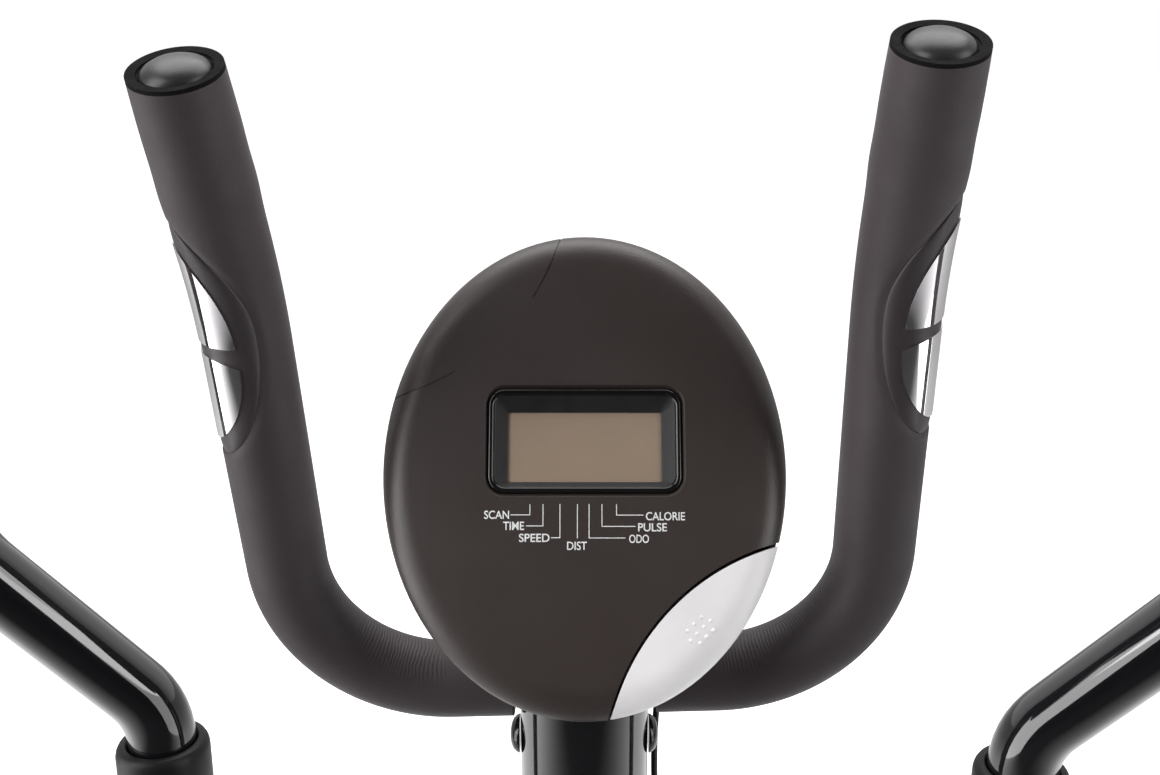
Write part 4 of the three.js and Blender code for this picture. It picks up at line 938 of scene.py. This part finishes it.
def makePost():
    outer, inner = machine["postRadius"], machine["postRadius"] - post["wall"]
    low, high = machine["postFoot"], machine["postTop"]
    profile = closed([(inner, low), (outer, low), (outer, high - 1), (outer - 1, high), (inner, high)])
    bm = turned(profile, Matrix.Translation((0, machine["postForward"], 0)), 96)
    cross = rod(post["crossRadius"], -post["crossReach"], post["crossReach"], "X",
                (0, machine["postForward"], machine["pivotHeight"]), 48)
    bm = combined(bm, cross, "UNION")
    finishPiece(bm, "upright_post", "base", "black_gloss_paint", replaced=("post",), sharp=40, bevel=1.2)
    height = machine["barHeight"] - post["bolt"]
    cap = [(0, 0.3 + post["capHeight"]), (2.5, 4.8), (5, 4.3), (7, 3.4), (8.4, 2.0), (post["cap"], 0.9),
           (post["cap"], 0.3), (0, 0.3)]
    caps = []
    for sign in (-1, 1):
        place = Matrix.Translation((sign * outer, machine["postForward"], height)) @ turnAbout("Y", sign * 90)
        caps.append(turned(cap, place, 40))
    finishPiece(joined(*caps), "bolt_caps", "base", "gloss_black_plastic", replaced=("top_bolt",), sharp=50)


makePost()
print("post made")


# The moving arms: lower tube, collar, handle tube and its foam.
arm = {
    "spacing": 205, "tube": 19, "low": -400, "top": 446, "bush": 23, "bushHalf": 23, "axleRoom": 10,
    "footBush": 20, "pin": 8, "pinInner": 141.5, "collarBase": 424, "collar": 22,
}
handle = {
    "tube": 15.9, "wall": 2, "play": 0.6, "start": 458, "insert": 60, "leaving": (72, -29, 98),
    "grip": (0, -18, 338), "radii": (45, 58), "foam": 20.4, "foamBore": 16.2, "foamLength": 290,
    "foamOver": 4.2,
}


def makeArmTube(side, mirror):
    x, low, high = arm["spacing"], arm["low"], arm["top"]
    tube = rod(arm["tube"], low, high, "Z", (x, 0, 0), 64)
    bore = rod(handle["tube"] + handle["play"], low + 30, high + 5, "Z", (x, 0, 0), 48)
    tube = combined(tube, bore, "DIFFERENCE")
    foot = rod(arm["footBush"], x - arm["tube"], x + arm["tube"], "X", (0, 0, low))
    tube = combined(tube, foot, "UNION")
    tube = combined(tube, rod(arm["bush"], x - arm["bushHalf"], x + arm["bushHalf"], "X"), "UNION")
    tube = combined(tube, rod(arm["pin"], arm["pinInner"], x, "X", (0, 0, low), 32), "UNION")
    tube = combined(tube, rod(arm["axleRoom"], x - 40, x + 40, "X"), "DIFFERENCE")
    finishPiece(tube, "arm_tube_" + side, "swing_" + side, "black_gloss_paint", armPlace(side) @ mirror,
                replaced=("swing_arm_" + side,), sharp=40, bevel=1.0)


def handleRun():
    x, start, leaving = arm["spacing"], handle["start"], Vector(handle["leaving"])
    setback = handle["radii"][0] * math.tan(leaving.angle(Vector((0, 0, 1))) / 2)
    lower = Vector((x, 0, start + setback + 1))
    upper = lower + leaving
    corners = [(x, 0, start - handle["insert"]), lower, upper, upper + Vector(handle["grip"])]
    return Run(roundedRun(corners, handle["radii"]))


def makeHandle(side, mirror):
    run = handleRun()
    places = evenly(0, run.length, 5)
    inner = handle["tube"] - handle["wall"]
    stations = [(here, handle["tube"]) for here in places] + [(here, inner) for here in reversed(places)]
    finishPiece(sweep(run, stations, 56), "handle_" + side, "swing_" + side, "black_gloss_paint",
                armPlace(side) @ mirror, replaced=("handle_tube_" + side,), sharp=50)


def makeHandleFoam(side, mirror):
    # a sleeve with a rounded, closed end
    run = handleRun()
    end, radius, bore, over = run.length, handle["foam"], handle["foamBore"], handle["foamOver"]
    begin = end - handle["foamLength"]
    stations = [(begin, bore + 0.1), (begin, radius - 1.5), (begin + 0.5, radius - 0.5)]
    stations += [(here, radius) for here in evenly(begin + 1.5, end + over - 3, 5)]
    stations += [(end + over - drop, radius - inward)
                 for drop, inward in ((2.3, 0.6), (1.1, 1.8), (0.3, 4), (0.05, 8))]
    stations += [(end + over, 0.4), (end + 0.3, 0.4), (end + 0.3, bore)]
    stations += [(here, bore) for here in reversed(evenly(begin + 1, end - 2, 10))]
    bm = sweep(run, stations, 64)
    markCreases(bm, run, 5)
    foam = finishPiece(bm, "handle_sleeve_" + side, "swing_" + side, "foam_rubber", armPlace(side) @ mirror,
                       gripFoamFinish, ("handle_foam_" + side,), 60)


def makeCollar(side, mirror):
    # heights from the collar's base, its skirt round the arm below and its lip round the handle above
    outer = arm["collar"]
    profile = [(19.4, 0), (outer - 0.6, 0), (outer, 0.8), (outer, 29), (outer - 0.4, 31), (outer - 1.4, 33),
               (19, 34), (17.2, 34), (16.4, 33.2), (16.3, 22.4), (19.4, 22.4)]
    place = Matrix.Translation((arm["spacing"], 0, arm["collarBase"]))
    finishPiece(turned(closed(profile), place, 72), "collar_" + side, "swing_" + side, "black_matte_plastic",
                armPlace(side) @ mirror, replaced=("handle_collar_" + side,), sharp=40)


for side, mirror in sides:
    makeArmTube(side, mirror)
    makeHandle(side, mirror)
    makeHandleFoam(side, mirror)
    makeCollar(side, mirror)
print("arms made")


# The drive's casing, two shells with screws and a ring round the axle.
cover = {
    "rear": (-330, 275, 176), "front": (-95, 235, 138), "half": 72, "bevel": 9, "wall": 3, "axleHole": 16,
    "band": {"outer": 20, "inner": 22.5, "depth": 0.9},
    "vents": {"count": 7, "start": -150, "pitch": 13, "wide": 5, "low": 205, "high": 265, "depth": 1.4},
    "screws": {"rear": 150, "front": 112, "turn": 20, "apart": 72},
}


def hullOutline(bm, shrink, x):
    # the outline round two circles, as one face in the plane of X
    (y0, z0, r0), (y1, z1, r1) = cover["rear"], cover["front"]
    r0, r1 = r0 - shrink, r1 - shrink
    span = math.hypot(y1 - y0, z1 - z0)
    heading = math.atan2(z1 - z0, y1 - y0)
    spread = math.acos((r0 - r1) / span)
    points = []
    for i in range(49):
        angle = heading + spread + (2 * math.pi - 2 * spread) * i / 48
        points.append((x, y0 + r0 * math.cos(angle), z0 + r0 * math.sin(angle)))
    for i in range(33):
        angle = heading - spread + 2 * spread * i / 32
        points.append((x, y1 + r1 * math.cos(angle), z1 + r1 * math.sin(angle)))
    return bm.faces.new([bm.verts.new(point) for point in points])


def coverSolid(shrink, start, end):
    # a plate with the casing's outline and a rounded rim on its outer side
    bm = bmesh.new()
    face = hullOutline(bm, shrink, start)
    made = bmesh.ops.extrude_face_region(bm, geom=[face])["geom"]
    bmesh.ops.translate(bm, vec=(end - start, 0, 0), verts=vertsIn(made))
    rim = [edge for edge in bm.edges if all(abs(v.co.x - end) < 0.01 for v in edge.verts)]
    bmesh.ops.bevel(bm, geom=rim, offset=cover["bevel"] - shrink / 2, segments=5, profile=0.5, affect="EDGES",
                    material=-1)
    bmesh.ops.recalc_face_normals(bm, faces=bm.faces)
    return bm


def coverPlate(shrink, start, end):
    # a flat plate with the casing's outline
    bm = bmesh.new()
    made = bmesh.ops.extrude_face_region(bm, geom=[hullOutline(bm, shrink, start)])["geom"]
    bmesh.ops.translate(bm, vec=(end - start, 0, 0), verts=vertsIn(made))
    bmesh.ops.recalc_face_normals(bm, faces=bm.faces)
    return bm


def makeCover(side, mirror):
    y0, z0, r0 = cover["rear"]
    half, wall, band, vents = cover["half"], cover["wall"], cover["band"], cover["vents"]
    shell = combined(coverSolid(0, 0.15, half), coverSolid(wall, -5, half - wall), "DIFFERENCE")
    # room for the crank's post, for the idler's bracket and for the keel
    for low, high in (((-1, y0 - 24, 60), (32, y0 + 24, z0 - r0 + 14)), ((-1, -205, 60), (32, -22.8, 142.2)),
                      ((-1, -560, 0), (32, 560, 98.6))):
        shell = combined(shell, block(low, high), "DIFFERENCE")
    shell = combined(shell, rod(cover["axleHole"], 0, 100, "X", (0, y0, z0), 48), "DIFFERENCE")
    groove = combined(coverPlate(band["outer"], half - band["depth"], half + 4),
                      coverPlate(band["inner"], half - 3, half + 6), "DIFFERENCE")
    shell = combined(shell, groove, "DIFFERENCE")
    for i in range(vents["count"]):
        y = vents["start"] + vents["pitch"] * i
        slot = block((half - vents["depth"], y, vents["low"]), (half + 4, y + vents["wide"], vents["high"]))
        shell = combined(shell, slot, "DIFFERENCE")
    finishPiece(shell, "casing_" + side, "base", "black_matte_plastic", metres @ mirror,
                replaced=("drive_cover_" + side,), sharp=30, bevel=0.6)


def makeCoverTrim(side, mirror):
    # a ring round the axle's hole and five screws, two of them near the front
    half, screws = cover["half"], cover["screws"]
    ring = closed([(16.5, 0), (16.5, 1.6), (18, 2.4), (34, 2.4), (38, 1.2), (39, 0)])
    head = [(0, 0.6), (1.2, 0.6), (1.3, 1.9), (3.2, 1.5), (3.9, 0.6), (4, -1), (0, -1)]
    outward = turnAbout("Y", 90)
    trim = turned(ring, Matrix.Translation((half, *cover["rear"][:2])) @ outward, 64)
    for i in range(5):
        angle = math.radians(screws["apart"] * i + screws["turn"])
        end = "front" if i in (0, 4) else "rear"
        y = cover[end][0] + screws[end] * math.cos(angle)
        z = cover[end][1] + screws[end] * math.sin(angle)
        joined(trim, turned(head, Matrix.Translation((half, y, z)) @ outward, 20))
    finishPiece(trim, "casing_trim_" + side, "base", "gloss_black_plastic", metres @ mirror, sharp=40)


for side, mirror in sides:
    makeCover(side, mirror)
    makeCoverTrim(side, mirror)
print("casing made")


# Ribs that keep a foot from slipping, on each footplate.
tread = {"middle": 173, "centre": -400, "rows": 10, "pitch": 30, "half": 47, "wide": 5, "top": 2.2,
         "floor": 29.3, "sunk": 0.3, "endCut": 12, "groove": 4, "round": 1.4}
pedalStance = {"left": (354.77, -14.717), "right": (374.52, 5.683), "height": 220.12}


def makeTread(side, mirror):
    pivotY, slope = pedalStance[side]
    place = metres @ Matrix.Translation((0, pivotY, pedalStance["height"])) @ turnAbout("X", slope) @ mirror
    last = tread["rows"] - 1
    bm = bmesh.new()
    for i in range(tread["rows"]):
        y = tread["centre"] + tread["pitch"] * (i - last / 2)
        half = tread["half"] - (tread["endCut"] if i in (0, last) else 0)
        for x0, x1 in ((-half, -tread["groove"]), (tread["groove"], half)):
            rib = block((tread["middle"] + x0, y - tread["wide"] / 2, tread["floor"] - tread["sunk"]),
                        (tread["middle"] + x1, y + tread["wide"] / 2, tread["floor"] + tread["top"]))
            crown = [edge for edge in rib.edges if min(v.co.z for v in edge.verts) > tread["floor"] + 1]
            bmesh.ops.bevel(rib, geom=crown, offset=tread["round"], segments=3, profile=0.5, affect="EDGES",
                            material=-1)
            joined(bm, rib)
    finishPiece(bm, "tread_" + side, "pedal_" + side, "black_rubber", place, sharp=50)


for side, mirror in sides:
    makeTread(side, mirror)
print("treads made")

# The other CAD pieces keep their shape, with edges rounded by these widths. A name that ends in _ stands for
# a left piece and a right one.
edgeWidths = {
    "keel_frame": 1.0, "front_stabilizer": 0.6, "rear_stabilizer": 0.6, "front_cap_": 1.2, "rear_cap_": 1.2,
    "transport_wheel_": 0.8, "tension_knob": 1.0, "console_back": 0.6, "battery_door": 0.4,
    "console_bracket": 0.5, "cable_grommet": 0.3, "crank_arm_": 1.5, "pivot_cap_": 0.6, "pedal_arm_": 1.6,
    "footplate_": 1.2,
}
for name, width in edgeWidths.items():
    for ending in ("left", "right") if name.endswith("_") else ("",):
        softened(name + ending, width)
for name, part in nodes.items():
    part.data.materials.clear()
    part.data.materials.append(finishes[slotOf[name]])
print("frame pieces made")


# Floor, lights and surroundings.
def makeFloor():
    bm = bmesh.new()
    bmesh.ops.create_grid(bm, x_segments=1, y_segments=1, size=40)
    mesh = bpy.data.meshes.new("floor")
    bm.to_mesh(mesh)
    bm.free()
    floor = bpy.data.objects.new("floor", mesh)
    floor.location.z = -0.001
    bpy.context.collection.objects.link(floor)
    material, tree, shader = startMaterial("floor", {})
    where = place3(tree)
    seen = addNode(tree, "ShaderNodeLightPath").outputs["Is Camera Ray"]
    split = addNode(tree, "ShaderNodeSeparateXYZ")
    link(tree, where, split.inputs["Vector"])
    lit = ranged(tree, split.outputs["Y"], 0, 1, -1.1, 0.5)  # dark on the user's side of the machine
    pale = mixColours(tree, noise(tree, where, 3), (0.9, 0.9, 0.9), (0.94, 0.94, 0.94))
    dim = mixColours(tree, lit, (0.03, 0.03, 0.03), pale)
    link(tree, mixColours(tree, seen, dim, pale), shader.inputs["Base Color"])
    shader.inputs["Roughness"].default_value = 0.9
    shader.inputs["Emission Color"].default_value = (1, 1, 1, 1)
    spread = addNode(tree, "ShaderNodeVectorMath", operation="LENGTH")
    link(tree, where, spread.inputs[0])
    glow = ranged(tree, spread.outputs["Value"], 0.42, 0.9, 1.2, 2.2)
    link(tree, maths(tree, "MULTIPLY", seen, glow), shader.inputs["Emission Strength"])
    mesh.materials.append(material)


lamps = [
    {"name": "key", "at": (-2.1, -0.9, 2.7), "to": (0, 0.3, 1.2), "size": (1.6, 2.2), "power": 60},
    {"name": "fill", "at": (2.3, -0.6, 2.3), "to": (0, 0.3, 1.2), "size": (1.4, 2.2), "power": 33},
    {"name": "top", "at": (0, 1.2, 3.4), "to": (0, 0.3, 1.0), "size": (3.0, 1.6), "power": 55},
    {"name": "leftBox", "at": (-2.3, -0.3, 0.95), "to": (0, 0.3, 1.0), "size": (1.9, 1.9), "power": 46},
    {"name": "rightBox", "at": (2.3, -0.3, 0.95), "to": (0, 0.3, 1.0), "size": (1.9, 1.9), "power": 23},
]


def makeLights():
    for facts in lamps:
        data = bpy.data.lights.new(facts["name"], "AREA")
        data.shape = "RECTANGLE"
        data.size, data.size_y = facts["size"]
        data.energy = facts["power"]
        lamp = bpy.data.objects.new(facts["name"], data)
        lamp.location = facts["at"]
        heading = Vector(facts["to"]) - Vector(facts["at"])
        lamp.rotation_euler = heading.to_track_quat("-Z", "Y").to_euler()
        bpy.context.collection.objects.link(lamp)
    world = bpy.data.worlds.new("studio")
    bpy.context.scene.world = world
    world.use_nodes = True
    tree = world.node_tree
    coords = addNode(tree, "ShaderNodeTexCoord")
    split = addNode(tree, "ShaderNodeSeparateXYZ")
    link(tree, coords.outputs["Generated"], split.inputs["Vector"])
    behind = ranged(tree, split.outputs["Y"], 0.04, 0.85, -0.1, 0.5)
    path = addNode(tree, "ShaderNodeLightPath")
    level = maths(tree, "MAXIMUM", behind, path.outputs["Is Camera Ray"])
    background = tree.nodes["Background"]
    link(tree, level, background.inputs["Strength"])
    background.inputs["Color"].default_value = (1, 1, 1, 1)


makeFloor()
makeLights()
bpy.context.scene.view_settings.view_transform = "Standard"

print("scene made")
